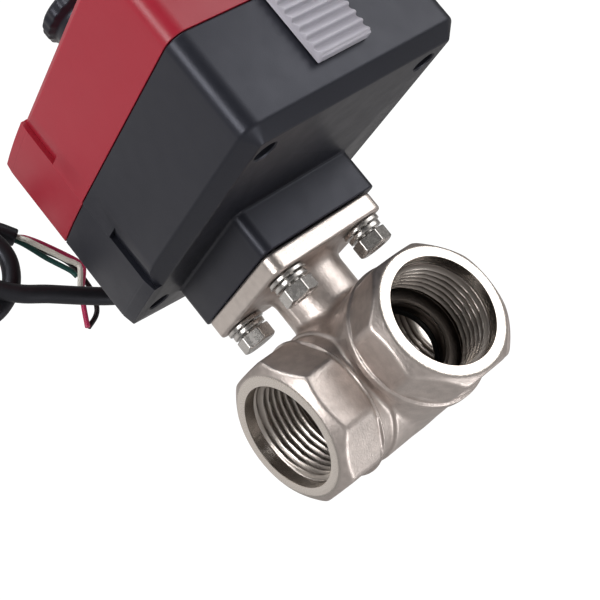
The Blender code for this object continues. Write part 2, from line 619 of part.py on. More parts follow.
board = box("circuit_board", (-27.6, -20.4, 65.7), (27.6, 13.2, 67.2), GREEN)
cut(board, cylinder("board_shaft_hole", 7.5, (64, 69)))
for tag, side in (("open", -1), ("closed", 1)):
    x = side * SWITCH_X
    half_x, half_y = SWITCH_HALF
    switch = box(f"limit_switch_{tag}", (x - half_x, -half_y, 67.6), (x + half_x, half_y, 74.2),
                 BLACK)
    rounding = switch.modifiers.new("round", "BEVEL")
    rounding.width = 0.4 * MM
    rounding.segments = 1
    rounding.limit_method = "ANGLE"
    # the lever reaches inwards, towards the cam
    lever_left, lever_right = sorted((x - side * 2.6, x - side * 5.4))
    join(switch, box(f"switch_lever_{tag}", (lever_left, -0.9, 69.6), (lever_right, 0.9, 71.4)))

# ---------------------------------------------------------------- knob
# grip disc over a slimmer skirt, with a raised pointer bar
POINTER_HALF = (2.1, KNOB_R - 1.6)

knob = turned("manual_knob", [
    (0, KNOB_Z1), (KNOB_R - 0.9, KNOB_Z1), (KNOB_R, KNOB_Z1 - 0.9), (KNOB_R, KNOB_Z1 - 3.2),
    (10.4, KNOB_Z1 - 4.4), (9.8, KNOB_Z0), (0, KNOB_Z0)], BLACK, steps=20)
join(knob, box("pointer_bar", (-POINTER_HALF[0], -POINTER_HALF[1], KNOB_Z1 - 1.0),
               (*POINTER_HALF, KNOB_Z1 + 2.6)))
cut(knob, cylinder("knob_bore", 3.9, (KNOB_Z0 - 1, 113.0)),
    cylinder("knob_ring_space", 8.0, (KNOB_Z0 - 1, KNOB_Z0 + 2.0)))
oring("knob_oring", radius=5.75, tube=0.75, z=KNOB_Z0 + 0.75, steps=16)

# ---------------------------------------------------------------- slide switch
# ribbed pad outside, neck through the slot, clutch fork and detent spring inside
SLIDE_HALF = 7.6
SLIDE_Z0, SLIDE_Z1 = 52.8, 74.6
RIB_PITCH = 2.45
RIB_GAP = (2.3, 3.5)        # first gap, above SLIDE_Z0
INNER_FACE_Y = FRONT_Y + WALL

slide = box("slide_switch", (-SLIDE_HALF, FRONT_Y - 2.9, SLIDE_Z0),
            (SLIDE_HALF, FRONT_Y - 0.35, SLIDE_Z1), GREY, origin=(0, FRONT_Y, SLIDE_Z0))
cut(slide, *[box(f"rib_gap_{k}",
                 (-SLIDE_HALF - 1, FRONT_Y - 4, SLIDE_Z0 + RIB_GAP[0] + RIB_PITCH * k),
                 (SLIDE_HALF + 1, FRONT_Y - 1.9, SLIDE_Z0 + RIB_GAP[1] + RIB_PITCH * k))
             for k in range(8)])
join(slide, box("slide_neck", (-3.2, FRONT_Y - 1.0, 60.0), (3.2, INNER_FACE_Y + 1.9, 65.0)))
box("clutch_fork", (-5.6, INNER_FACE_Y + 2.2, 58.0), (5.6, INNER_FACE_Y + 3.4, 67.0), STEEL)
box("slide_detent_spring", (5.0, INNER_FACE_Y + 0.5, 57.5), (9.5, INNER_FACE_Y + 1.0, 69.0),
    STEEL)

# ---------------------------------------------------------------- cable
CABLE_R = 2.1
WIRE_R = 0.6
COIL_CENTRE = (-46.1, 82.0)     # x, z
COIL_R = 11.2
COIL_ACROSS = (0.876, -0.498)   # x, z of one step across the slanted coil
COIL_DOWN = (-0.64, -0.888)     # x, z of one step down it


def coil_point(across, down, depth):
    """Point of the loosely coiled lead at y = `depth`, behind the housing."""
    return (COIL_CENTRE[0] + COIL_ACROSS[0] * across + COIL_DOWN[0] * down, depth,
            COIL_CENTRE[1] + COIL_ACROSS[1] * across + COIL_DOWN[1] * down)


def smooth_path(knots, steps=2):
    """Catmull-Rom points through knots."""
    knots = [Vector(k) for k in knots]
    knots = [2 * knots[0] - knots[1]] + knots + [2 * knots[-1] - knots[-2]]
    path = []
    for a, b, c, d in zip(knots, knots[1:], knots[2:], knots[3:]):
        for k in range(steps):
            t = k / steps
            path.append(0.5 * ((2 * b) + (c - a) * t + (2 * a - 5 * b + 4 * c - d) * t * t
                               + (3 * b - a - 3 * c + d) * t ** 3))
    return path + [knots[-2]]


def wire(name, knots, radius, mat, resolution):
    """Round wire or cable run smoothly through knots."""
    curve = poly_curve(name, "3D", smooth_path(knots))
    curve.bevel_depth = radius * MM
    curve.bevel_resolution = resolution
    curve.use_fill_caps = True
    curve_solid(name, curve, mat)


turned("cable_gland", [
    (2.6, 6.6), (4.4, 6.6), (5.8, 4.6), (6.4, 0.5), (6.4, -0.05), (4.55, -0.05),
    (4.55, -4.2), (2.6, -4.2)], RUBBER, at=(0, BACK_Y + 0.35, CABLE_Z), axis="Y", steps=16)

cable_end = coil_point(11.0, -9.6, 54.6)
cable_knots = [
    (0, BACK_Y - 8.0, CABLE_Z), (0, BACK_Y + 8.0, 58.6), (-4.5, BACK_Y + 13.5, 56.8),
    (-11.0, 46.0, 56.2), (-18.6, 46.0, 59.0), (-31.4, 46.0, 68.0), (-42.1, 46.4, 74.9)]
for k in range(13):
    angle = math.radians(-168 + 36 * k)
    cable_knots.append(coil_point(COIL_R * math.cos(angle), COIL_R * math.sin(angle),
                                  47.6 + 0.55 * k))
wire("cable", cable_knots + [cable_end], CABLE_R, RUBBER, resolution=2)

# stripped conductors fanning out of the jacket end:
# name, material, (up, back) place in the bundle, y of the free run, (x, z) stations
WIRES = (
    ("wire_red", WIRE_RED, (0.9, 0.0), 54.0,
     [(-21.3, 79.2), (-17.2, 73.4), (-17.2, 69.7), (-22.2, 63.9), (-23.7, 61.3),
      (-26.7, 55.7)]),
    ("wire_white", WIRE_WHITE, (-0.2, -0.9), 52.2,
     [(-22.2, 78.6), (-18.4, 72.6), (-18.7, 69.6), (-22.6, 65.4), (-24.6, 62.0)]),
    ("wire_green", WIRE_GREEN, (-0.9, -0.1), 55.6,
     [(-24.6, 77.9), (-21.2, 72.0), (-21.6, 68.7)]),
    ("wire_black", WIRE_BLACK, (0.1, 0.9), 57.4,
     [(-23.6, 76.8), (-19.9, 71.0), (-19.2, 64.2), (-20.6, 60.6), (-22.9, 55.8)]),
)
end_x, end_y, end_z = cable_end
for name, mat, (up, back), depth, stations in WIRES:
    wire(name, [
        (end_x + 0.9, end_y + back * 0.95, end_z - 0.7 + up * 0.95),
        (end_x + 3.2, (end_y + depth) / 2 + back * 0.8, end_z - 3.4 + up * 1.5),
        *[(x, depth, z) for x, z in stations]], WIRE_R, mat, resolution=0)

# one empty at the ball centre carries the whole drawing into the object's frame
stand = bpy.data.objects.new("ball_centre", None)
scene.collection.objects.link(stand)
stand.location = Vector(BALL_CENTRE) * MM
for obj in [*PARTS.objects, *CUTTERS.objects]:
    obj.parent = stand
bpy.context.view_layer.update()
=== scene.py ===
"""Motorised three-way ball valve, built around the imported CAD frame.

The run ports face -X and +X, the branch port faces -Y (front), and the stem rises
along +Z to the drive housing.  The cable leaves at the back (+Y).  Shapes are worked
out in millimetres about the ball centre; mesh_from() places them in the frame's metres.
Cast and turned metal is meshed from distance functions, moulded shells are lofted, and
turned, swept and threaded pieces come from profiles.
"""
import json
from itertools import product
from math import cos, pi, radians, sin

import bmesh
import bpy
import numpy as np
from mathutils import Matrix, Quaternion, Vector


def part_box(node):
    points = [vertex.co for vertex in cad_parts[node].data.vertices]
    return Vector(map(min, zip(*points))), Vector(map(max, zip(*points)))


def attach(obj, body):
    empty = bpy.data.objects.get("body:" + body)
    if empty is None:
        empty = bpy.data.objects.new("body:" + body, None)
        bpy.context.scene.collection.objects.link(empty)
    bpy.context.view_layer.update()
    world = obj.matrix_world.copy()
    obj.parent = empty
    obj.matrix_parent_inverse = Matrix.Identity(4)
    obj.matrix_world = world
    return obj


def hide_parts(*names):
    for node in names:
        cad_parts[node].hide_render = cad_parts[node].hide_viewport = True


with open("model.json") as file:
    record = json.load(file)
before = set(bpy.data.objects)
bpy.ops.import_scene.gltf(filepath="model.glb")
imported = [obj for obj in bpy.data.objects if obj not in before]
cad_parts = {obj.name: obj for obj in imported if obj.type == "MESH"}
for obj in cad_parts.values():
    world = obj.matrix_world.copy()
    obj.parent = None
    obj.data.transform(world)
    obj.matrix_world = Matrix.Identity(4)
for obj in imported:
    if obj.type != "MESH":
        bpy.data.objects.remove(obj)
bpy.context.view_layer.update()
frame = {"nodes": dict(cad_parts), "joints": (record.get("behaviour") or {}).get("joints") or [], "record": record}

MM = 0.001

# ball centre, from the stem axis and the run port's height
stem = next(j for j in frame["joints"] if j["name"] == "output_turn")["pos_m"]
port_low, port_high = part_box("end_connector_left")
CENTRE = np.array([stem[0], stem[1], (port_low[2] + port_high[2]) / 2])


def box_mm(node):
    """A CAD node's box in millimetres about the ball centre."""
    low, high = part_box(node)
    return (np.array(low) - CENTRE) / MM, (np.array(high) - CENTRE) / MM


# ---------------------------------------------------------- driving dimensions, mm
PORT_RUN = -box_mm("end_connector_left")[0][0]      # ball centre to run port face
PORT_BRANCH = -box_mm("valve_body")[0][1]           # ball centre to branch port face
OCTAGON_HALF = box_mm("end_connector_left")[1][2]
FLANGE_HALF = box_mm("valve_body")[1][0]
FLANGE_TOP = box_mm("valve_body")[1][2]
FLANGE_BOTTOM = FLANGE_TOP - 4.9
HOUSE_LOW, HOUSE_HIGH = box_mm("lower_housing")
HALF_W = HOUSE_HIGH[0]
FRONT_Y = HOUSE_LOW[1]
BACK_Y = HOUSE_HIGH[1]
PEDESTAL_Z = HOUSE_LOW[2]
PART_Z = (HOUSE_HIGH[2] + box_mm("upper_cover")[0][2]) / 2     # parting of the two shells
BALL_R = box_mm("ball")[1][0]
BOLT_PITCH = 12.728                                 # flange bolt axes in x and y


# --------------------------------------------------------------------- mesh tools
def mesh_from(name, points, faces, mat=None, sharp=None):
    """Smooth mesh object; faces lists arrays of polygons and single index lists."""
    mesh = bpy.data.meshes.new(name)
    flat, sizes = [], []
    for group in faces:
        rows = np.atleast_2d(group)
        flat.append(rows.ravel())
        sizes.append(np.full(len(rows), rows.shape[1], np.int32))
    flat = np.concatenate(flat).astype(np.int32)
    sizes = np.concatenate(sizes).astype(np.int32)
    starts = np.concatenate([[0], np.cumsum(sizes)[:-1]]).astype(np.int32)
    co = (np.asarray(points, float) * MM + CENTRE).astype(np.float32)
    mesh.vertices.add(len(co))
    mesh.vertices.foreach_set("co", co.ravel())
    mesh.loops.add(len(flat))
    mesh.loops.foreach_set("vertex_index", flat)
    mesh.polygons.add(len(sizes))
    mesh.polygons.foreach_set("loop_start", starts)
    mesh.update(calc_edges=True)
    mesh.validate()
    obj = bpy.data.objects.new(name, mesh)
    bpy.context.scene.collection.objects.link(obj)
    mesh.shade_smooth()
    if sharp:
        mesh.set_sharp_from_angle(angle=radians(sharp))
    if mat:
        mesh.materials.append(mat)
    return obj


def tag(obj, name, values):
    """Point attribute: `machined` is 1 on turned faces, `cavity` 1 where painted shade darkens deep places."""
    attribute = obj.data.attributes.new(name, "FLOAT", "POINT")
    attribute.data.foreach_set("value", np.asarray(values, np.float32))


def outward(obj):
    """Faces point out of the closed mesh."""
    bm = bmesh.new()
    bm.from_mesh(obj.data)
    bmesh.ops.recalc_face_normals(bm, faces=bm.faces)
    bm.to_mesh(obj.data)
    bm.free()
    obj.data.update()


def reshade(obj, sharp):
    obj.data.shade_smooth()
    obj.data.set_sharp_from_angle(angle=radians(sharp))


def finish(obj, body, *nodes):
    """Hand the piece over: the body it rides on, the CAD nodes it replaces."""
    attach(obj, body)
    if nodes:
        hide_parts(*nodes)


# distance functions: negative inside
def smin(a, b, k):
    """Union with a blend of width k."""
    h = np.maximum(k - np.abs(a - b), 0)
    return np.minimum(a, b) - h * h / (4 * k)


def smax(a, b, k):
    """Intersection with a blend of width k."""
    h = np.maximum(k - np.abs(a - b), 0)
    return np.maximum(a, b) + h * h / (4 * k)


def hypot(a, b):
    return np.sqrt(a * a + b * b)


def slab(u, low, high):
    return np.maximum(low - u, u - high)


def surface_net(field, low, high, step):
    """Points and quads of field(x, y, z) = 0, the points pulled on to the surface."""
    axes = [np.arange(l - 2 * step, h + 2.5 * step, step, dtype=np.float32)
            for l, h in zip(low, high)]
    values = field(axes[0][:, None, None], axes[1][None, :, None], axes[2][None, None, :])
    values = np.broadcast_to(values, [len(a) for a in axes]).astype(np.float32)
    inside = values < 0
    nx, ny, nz = (s - 1 for s in values.shape)
    corners = list(product((0, 1), repeat=3))
    count = np.zeros((nx, ny, nz), np.int8)
    for a, b, c in corners:
        count += inside[a:a + nx, b:b + ny, c:c + nz]
    I, J, K = np.nonzero((count > 0) & (count < 8))
    index = np.full(count.shape, -1, np.int32)
    index[I, J, K] = np.arange(len(I))

    # one point per mixed cell, at the mean of its edge crossings
    total = np.zeros((len(I), 3))
    crossings = np.zeros(len(I))
    for p in corners:
        for axis in range(3):
            if p[axis]:
                continue
            q = list(p)
            q[axis] = 1
            start = values[I + p[0], J + p[1], K + p[2]]
            end = values[I + q[0], J + q[1], K + q[2]]
            cross = (start < 0) != (end < 0)
            t = np.where(cross, start / np.where(cross, start - end, 1), 0)
            for k in range(3):
                total[:, k] += cross * (p[k] + t * (q[k] - p[k]))
            crossings += cross
    cells = np.stack([I, J, K], 1) + total / crossings[:, None]
    points = cells * step + np.array([a[0] for a in axes])

    # one quad round every crossed grid edge
    quads = []
    for axis in range(3):
        here = [slice(1, -1)] * 3
        here[axis] = slice(0, -1)
        beyond = [slice(1, -1)] * 3
        beyond[axis] = slice(1, None)
        a, b = inside[tuple(here)], inside[tuple(beyond)]
        i, j, k = np.nonzero(a != b)
        leaving = a[i, j, k]
        off = [1, 1, 1]
        off[axis] = 0
        grid = np.stack([i + off[0], j + off[1], k + off[2]], 1)
        u, v = [d for d in range(3) if d != axis]
        around = []
        for du, dv in ((-1, -1), (0, -1), (0, 0), (-1, 0)):
            cell = grid.copy()
            cell[:, u] += du
            cell[:, v] += dv
            around.append(index[cell[:, 0], cell[:, 1], cell[:, 2]])
        quad = np.stack(around, 1)
        flip = ~leaving if axis != 1 else leaving
        quad[flip] = quad[flip][:, ::-1]
        quads.append(quad)

    # three Newton-like steps along the field's gradient
    e = 0.02
    for _ in range(3):
        x, y, z = points.T
        d = field(x, y, z)
        slope = np.stack([field(x + e, y, z) - field(x - e, y, z),
                          field(x, y + e, z) - field(x, y - e, z),
                          field(x, y, z + e) - field(x, y, z - e)], 1) / (2 * e)
        slope_sq = np.maximum((slope * slope).sum(1), 0.2)
        points -= np.clip(d / slope_sq, -0.4 * step, 0.4 * step)[:, None] * slope
    return points, np.concatenate(quads)


AXIS = {  # (radius, angle, along) -> x, y, z; `along` runs outwards
    "+Z": lambda r, a, u: (r * np.cos(a), r * np.sin(a), u),
    "-X": lambda r, a, u: (-u, -r * np.cos(a), r * np.sin(a)),
    "+X": lambda r, a, u: (u, r * np.cos(a), r * np.sin(a)),
    "-Y": lambda r, a, u: (r * np.cos(a), -u, r * np.sin(a)),
    "+Y": lambda r, a, u: (-r * np.cos(a), u, r * np.sin(a)),
}


def bezier(start, corner, end, s):
    return (1 - s) ** 2 * start + 2 * s * (1 - s) * corner + s * s * end


def round_profile(points, radii, seg=4):
    """Polyline (2-D) with its corners rounded, by one radius or one per point."""
    last = len(points) - 1
    if np.isscalar(radii):
        radii = [radii] * len(points)
    out = []
    for i, (p, r) in enumerate(zip(points, radii)):
        p = np.array(p, float)
        if i in (0, last) or not r:
            out.append(p)
            continue
        a, b = np.array(points[i - 1], float) - p, np.array(points[i + 1], float) - p
        length_a, length_b = np.linalg.norm(a), np.linalg.norm(b)
        t = min(r, 0.49 * length_a, 0.49 * length_b)
        start, end = p + a / length_a * t, p + b / length_b * t
        out += [bezier(start, p, end, k / seg) for k in range(seg + 1)]
    return out


def grid_quads(rows, columns, close_rows, close_columns):
    """Quads over a grid of points, wrapped round in either direction."""
    i = np.arange(rows if close_rows else rows - 1)[:, None]
    j = np.arange(columns if close_columns else columns - 1)[None, :]
    i2, j2 = (i + 1) % rows, (j + 1) % columns
    corners = (i * columns + j, i * columns + j2, i2 * columns + j2, i2 * columns + j)
    return np.stack(np.broadcast_arrays(*corners), -1).reshape(-1, 4)


def revolve(name, profile, mat=None, axis="+Z", at=(0, 0, 0), steps=96, sharp=40,
            gap=None, radial=None, rise=0.0):
    """Solid of revolution of a profile (radius, along); ends on the axis are capped.
    radial(angle, radius, along) may change the radius; gap leaves the ring open by
    that angle; rise is the helical climb of one turn."""
    section = np.array(profile, float)
    capped = section[0][0] < 1e-9 and section[-1][0] < 1e-9
    if capped:
        section = section[1:-1]
    m = len(section)
    if gap is None:
        n = steps
        angle = np.linspace(0, 2 * pi, n, endpoint=False)[:, None]
    else:
        n = steps + 1
        angle = np.linspace(gap / 2, 2 * pi - gap / 2, n)[:, None]
    radius = np.broadcast_to(section[:, 0], (n, m))
    along = np.broadcast_to(section[:, 1], (n, m)) + rise * (angle / (2 * pi) - 0.5)
    if radial:
        radius = radial(angle, radius, along)
    xyz = AXIS[axis](radius, angle + 0 * radius, along)
    points = np.stack(xyz, -1).reshape(-1, 3) + np.array(at, float)
    faces = [grid_quads(n, m, gap is None, not capped)]
    if capped:
        faces.append([k * m for k in range(n)])
        faces.append([k * m + m - 1 for k in range(n)][::-1])
    if gap is not None:
        faces.append(list(range(m)))
        faces.append([(n - 1) * m + k for k in range(m)][::-1])
    obj = mesh_from(name, points, faces, mat, sharp=sharp)
    outward(obj)
    return obj


def loft(name, rings, mat=None, sharp=30):
    """Skin over closed rings, (N, 3) arrays of the same count, with flat end caps."""
    n, count = len(rings[0]), len(rings)
    faces = [grid_quads(count, n, False, True),
             list(range(n))[::-1], [(count - 1) * n + i for i in range(n)]]
    obj = mesh_from(name, np.concatenate(rings), faces, mat, sharp=sharp)
    outward(obj)
    reshade(obj, sharp)
    return obj


def tube(name, path, radius, mat, sides, end_round):
    """Round section swept along a path without twist; ends slightly rounded."""
    path = np.array(path, float)
    tangents = np.gradient(path, axis=0)
    tangents /= np.linalg.norm(tangents, axis=1)[:, None]
    normal = np.cross(tangents[0], [0.3, 0.5, 0.9])
    normal /= np.linalg.norm(normal)
    normals = []
    for t in tangents:
        normal = normal - t * (normal @ t)
        normal /= np.linalg.norm(normal)
        normals.append(normal)
    normals = np.array(normals)
    binormals = np.cross(tangents, normals)

    last = len(path) - 1
    setback = end_round * radius * 0.3
    tip, shoulder = radius * (1 - end_round * 0.4), radius * (1 - end_round * 0.08)
    stations = [(path[0], 0, tip), (path[0] + tangents[0] * setback, 0, shoulder)]
    stations += [(path[i], i, radius) for i in range(1, last)]
    stations += [(path[-1] - tangents[-1] * setback, last, shoulder), (path[-1], last, tip)]
    a = np.linspace(0, 2 * pi, sides, endpoint=False)[:, None]
    rings = [centre + r * (np.cos(a) * normals[i] + np.sin(a) * binormals[i])
             for centre, i, r in stations]
    return loft(name, rings, mat, sharp=50)


def smooth_path(knots, per):
    """Catmull-Rom points through knots, `per` to each span."""
    knots = [np.array(k, float) for k in knots]
    knots = [2 * knots[0] - knots[1]] + knots + [2 * knots[-1] - knots[-2]]
    out = []
    for i in range(1, len(knots) - 2):
        a, b, c, d = knots[i - 1:i + 3]
        for k in range(per):
            t = k / per
            out.append(0.5 * ((2 * b) + (c - a) * t + (2 * a - 5 * b + 4 * c - d) * t * t
                              + (3 * b - a - 3 * c + d) * t ** 3))
    out.append(knots[-2])
    return out


def cylinder(radius, start, end, axis="+Z", at=(0, 0, 0), steps=64):
    """Plain cylinder for use in booleans."""
    profile = [(0, start), (radius, start), (radius, end), (0, end)]
    return revolve("tool", profile, None, axis, at, steps)


def block(low, high, radius=0.0):
    """Block for use in booleans, its edges rounded by radius."""
    bm = bmesh.new()
    bmesh.ops.create_cube(bm, size=1.0)
    bmesh.ops.scale(bm, verts=bm.verts, vec=[h - l for l, h in zip(low, high)])
    bmesh.ops.translate(bm, verts=bm.verts, vec=[(h + l) / 2 for l, h in zip(low, high)])
    if radius:
        bmesh.ops.bevel(bm, geom=bm.edges[:] + bm.verts[:], offset=radius, segments=4,
                        affect="EDGES", profile=0.5)
    points = np.array([v.co for v in bm.verts])
    faces = [[v.index for v in f.verts] for f in bm.faces]
    bm.free()
    return mesh_from("tool", points, faces, sharp=30)


def boolean(obj, tools, operation="DIFFERENCE"):
    """Apply exact booleans and delete the tools."""
    for tool in tools:
        mod = obj.modifiers.new("b", "BOOLEAN")
        mod.operation = operation
        mod.solver = "EXACT"
        mod.object = tool
    bpy.context.view_layer.update()
    graph = bpy.context.evaluated_depsgraph_get()
    mesh = bpy.data.meshes.new_from_object(obj.evaluated_get(graph))
    obj.modifiers.clear()
    old = obj.data
    mats = list(old.materials)
    obj.data = mesh
    mesh.materials.clear()
    for mat in mats:
        mesh.materials.append(mat)
    mesh.polygons.foreach_set("material_index", np.zeros(len(mesh.polygons), np.int32))
    bpy.data.meshes.remove(old)
    for tool in tools:
        data = tool.data
        bpy.data.objects.remove(tool, do_unlink=True)
        bpy.data.meshes.remove(data)
    reshade(obj, 30)


# ---------------------------------------------------------------------- materials
MATERIALS = {}      # by slot name


def add_node(tree, kind, values=None, **properties):
    """New node; each input in values takes a link from a socket or a plain value."""
    node = tree.nodes.new(kind)
    for name, value in properties.items():
        setattr(node, name, value)
    for name, value in (values or {}).items():
        if isinstance(value, bpy.types.NodeSocket):
            tree.links.new(value, node.inputs[name])
        else:
            node.inputs[name].default_value = value
    return node


def principled(mat):
    return next(n for n in mat.node_tree.nodes if n.type == "BSDF_PRINCIPLED")


def material(name, colour, roughness, metal=0.0, grain=0.0, grain_scale=2500.0,
             mottling=0.06, mottle_scale=120.0, roughness_spread=0.05, wear_and_highlight=0.0):
    """Principled material with colour mottling, roughness variation and fine grain.
    The last argument brightens convex edges slightly: partly wear from handling, partly a painted highlight."""
    mat = bpy.data.materials.new(name)
    mat.use_nodes = True
    tree = mat.node_tree
    shader = principled(mat)
    shader.inputs["Metallic"].default_value = metal
    place = add_node(tree, "ShaderNodeTexCoord").outputs["Object"]

    def noise(scale, detail):
        values = {"Vector": place, "Scale": scale, "Detail": detail}
        return add_node(tree, "ShaderNodeTexNoise", values).outputs["Fac"]

    def noise_range(fac, low, high):
        values = {"Value": fac, "From Min": 0.3, "From Max": 0.7, "To Min": low, "To Max": high}
        return add_node(tree, "ShaderNodeMapRange", values).outputs["Result"]

    def scaled(vector, factor):
        values = {0: vector, "Scale": factor}
        return add_node(tree, "ShaderNodeVectorMath", values,
                        operation="SCALE").outputs["Vector"]

    gain = noise_range(noise(mottle_scale, detail=5.0), 1 - mottling, 1 + mottling)
    tone = scaled(colour, gain)
    gloss = noise_range(noise(mottle_scale * 3.1, detail=6.0),
                        max(roughness - roughness_spread, 0.02), roughness + roughness_spread)
    # convex edges brightened: partly wear, partly painted highlight
    if wear_and_highlight:
        geometry = add_node(tree, "ShaderNodeNewGeometry")
        edge = add_node(tree, "ShaderNodeMapRange", {
            "Value": geometry.outputs["Pointiness"], "From Min": 0.52, "From Max": 0.62})
        worn_and_lit = add_node(tree, "ShaderNodeMath", {0: edge.outputs["Result"], 1: wear_and_highlight, 2: 1.0},
                        operation="MULTIPLY_ADD")
        tone = scaled(tone, worn_and_lit.outputs["Value"])
    tree.links.new(tone, shader.inputs["Base Color"])
    tree.links.new(gloss, shader.inputs["Roughness"])
    if grain:
        bump = add_node(tree, "ShaderNodeBump", {
            "Height": noise(grain_scale, detail=3.0), "Strength": grain, "Distance": 0.00004})
        tree.links.new(bump.outputs["Normal"], shader.inputs["Normal"])
    MATERIALS[name] = mat
    return mat


def blend_by_attribute(mat, attribute, colour, roughness):
    """Mix another colour and roughness in by a point attribute."""
    tree = mat.node_tree
    mask = add_node(tree, "ShaderNodeAttribute", attribute_name=attribute).outputs["Fac"]
    for socket, value, kind in (("Base Color", (*colour, 1), "RGBA"),
                                ("Roughness", roughness, "FLOAT")):
        target = principled(mat).inputs[socket]
        values = {"Factor": mask, "A": target.links[0].from_socket, "B": value}
        blend = add_node(tree, "ShaderNodeMix", values, data_type=kind)
        tree.links.new(blend.outputs["Result"], target)


def paint_recess_shade(mat):
    """Painted shade: a dark brown colour and roughness mixed in by the `cavity` attribute, strongest in deep
    places.
    """
    blend_by_attribute(mat, "cavity", colour=(0.055, 0.036, 0.028), roughness=0.42)


def nickel_material():
    """Bead-blasted nickel plate, bright on turned faces."""
    mat = material("nickel_plated_brass", colour=(0.655, 0.59, 0.555), roughness=0.42,
                   metal=1.0, grain=1.5, grain_scale=2100.0, mottling=0.11,
                   mottle_scale=420.0, roughness_spread=0.06)
    blend_by_attribute(mat, "machined", colour=(0.74, 0.69, 0.64), roughness=0.23)
    # painted shade in the deep places of the nickel parts
    paint_recess_shade(mat)
    return mat


NICKEL = nickel_material()
STEEL = material("zinc_plated_steel", colour=(0.60, 0.585, 0.565), roughness=0.26, metal=1.0,
                 grain=0.25, grain_scale=1500.0, mottling=0.07, mottle_scale=300.0, wear_and_highlight=0.1)
POLISHED = material("polished_ball", colour=(0.66, 0.63, 0.60), roughness=0.1, metal=1.0,
                    mottling=0.03, roughness_spread=0.03)
# painted shade inside the ball's bores
paint_recess_shade(POLISHED)
material("white_ptfe", colour=(0.82, 0.81, 0.78), roughness=0.45, grain=0.15)
SEAT_PTFE = material("carbon_filled_ptfe", colour=(0.012, 0.012, 0.013), roughness=0.5,
                     grain=0.15)
BLACK = material("black_abs", colour=(0.014, 0.015, 0.021), roughness=0.38, grain=0.32,
                 grain_scale=3200.0, mottling=0.05, mottle_scale=70.0,
                 roughness_spread=0.03, wear_and_highlight=0.5)
RED = material("red_abs", colour=(0.375, 0.0145, 0.034), roughness=0.38, grain=0.3,
               grain_scale=3200.0, mottling=0.03, mottle_scale=60.0,
               roughness_spread=0.03, wear_and_highlight=0.25)
GREY = material("grey_abs", colour=(0.47, 0.46, 0.52), roughness=0.42, grain=0.25,
                grain_scale=3000.0, mottling=0.04, wear_and_highlight=0.15)
RUBBER = material("black_rubber", colour=(0.012, 0.012, 0.014), roughness=0.42, grain=0.35,
                  grain_scale=1800.0, mottling=0.12, mottle_scale=160.0,
                  roughness_spread=0.06)
material("natural_acetal", colour=(0.75, 0.73, 0.66), roughness=0.38, grain=0.12)
material("circuit_board", colour=(0.02, 0.14, 0.05), roughness=0.35, grain=0.1,
         mottling=0.12, mottle_scale=400.0)
for wire_name, wire_colour, wire_mottling in (
        ("wire_red", (0.46, 0.03, 0.10), 0.06),
        ("wire_white", (0.72, 0.71, 0.64), 0.05),
        ("wire_green", (0.012, 0.085, 0.075), 0.08),
        ("wire_black", (0.012, 0.012, 0.014), 0.1)):
    material(wire_name, colour=wire_colour, roughness=0.36, grain=0.12,
             mottling=wire_mottling, mottle_scale=300.0)
for plastic in (BLACK, RUBBER):     # sheen a little cooler than the lamps
    principled(plastic).inputs["Specular Tint"].default_value = (0.76, 0.79, 0.92, 1)

for part in frame["record"]["subparts"]:
    node = frame["nodes"].get(part["node"])
    if node is not None:
        node.data.materials.clear()
        node.data.materials.append(MATERIALS[part["material_slot"]])


# --------------------------------------------------------------------- valve body
NET_STEP = 0.36
BARREL_R, COLLAR_R, NECK_R = 17.3, 16.4, 10.0
FACE_RING_R = 15.5          # flat ring of a port face, inside its turned cone
FLANGE_CORNER = 3.2
LINER_R = 13.9              # pocket of the threaded lining
WATERWAY_R = 9.6
SEAT_POCKET_R, SEAT_POCKET_END = 10.9, 13.4


def octagon(a, b, squash=1.03):
    """Octagon section with flats facing along both coordinates, arrises eased."""
    a, b = np.abs(a), np.abs(b) * squash
    return smax(np.maximum(a, b), (a + b) * 0.70711, 1.0) - OCTAGON_HALF


def turned_ends(r, u, inner, outer):
    """Outer face with its turned cone, and the rounded-off inner end."""
    front = smax(u - outer, (r - FACE_RING_R) * 0.6428 + (u - outer) * 0.7660, 0.25)
    back = smax(inner - u, ((r - 16.9) * 0.957 - (u - inner)) * 0.7225, 0.6)
    return smax(front, back, 0.3)


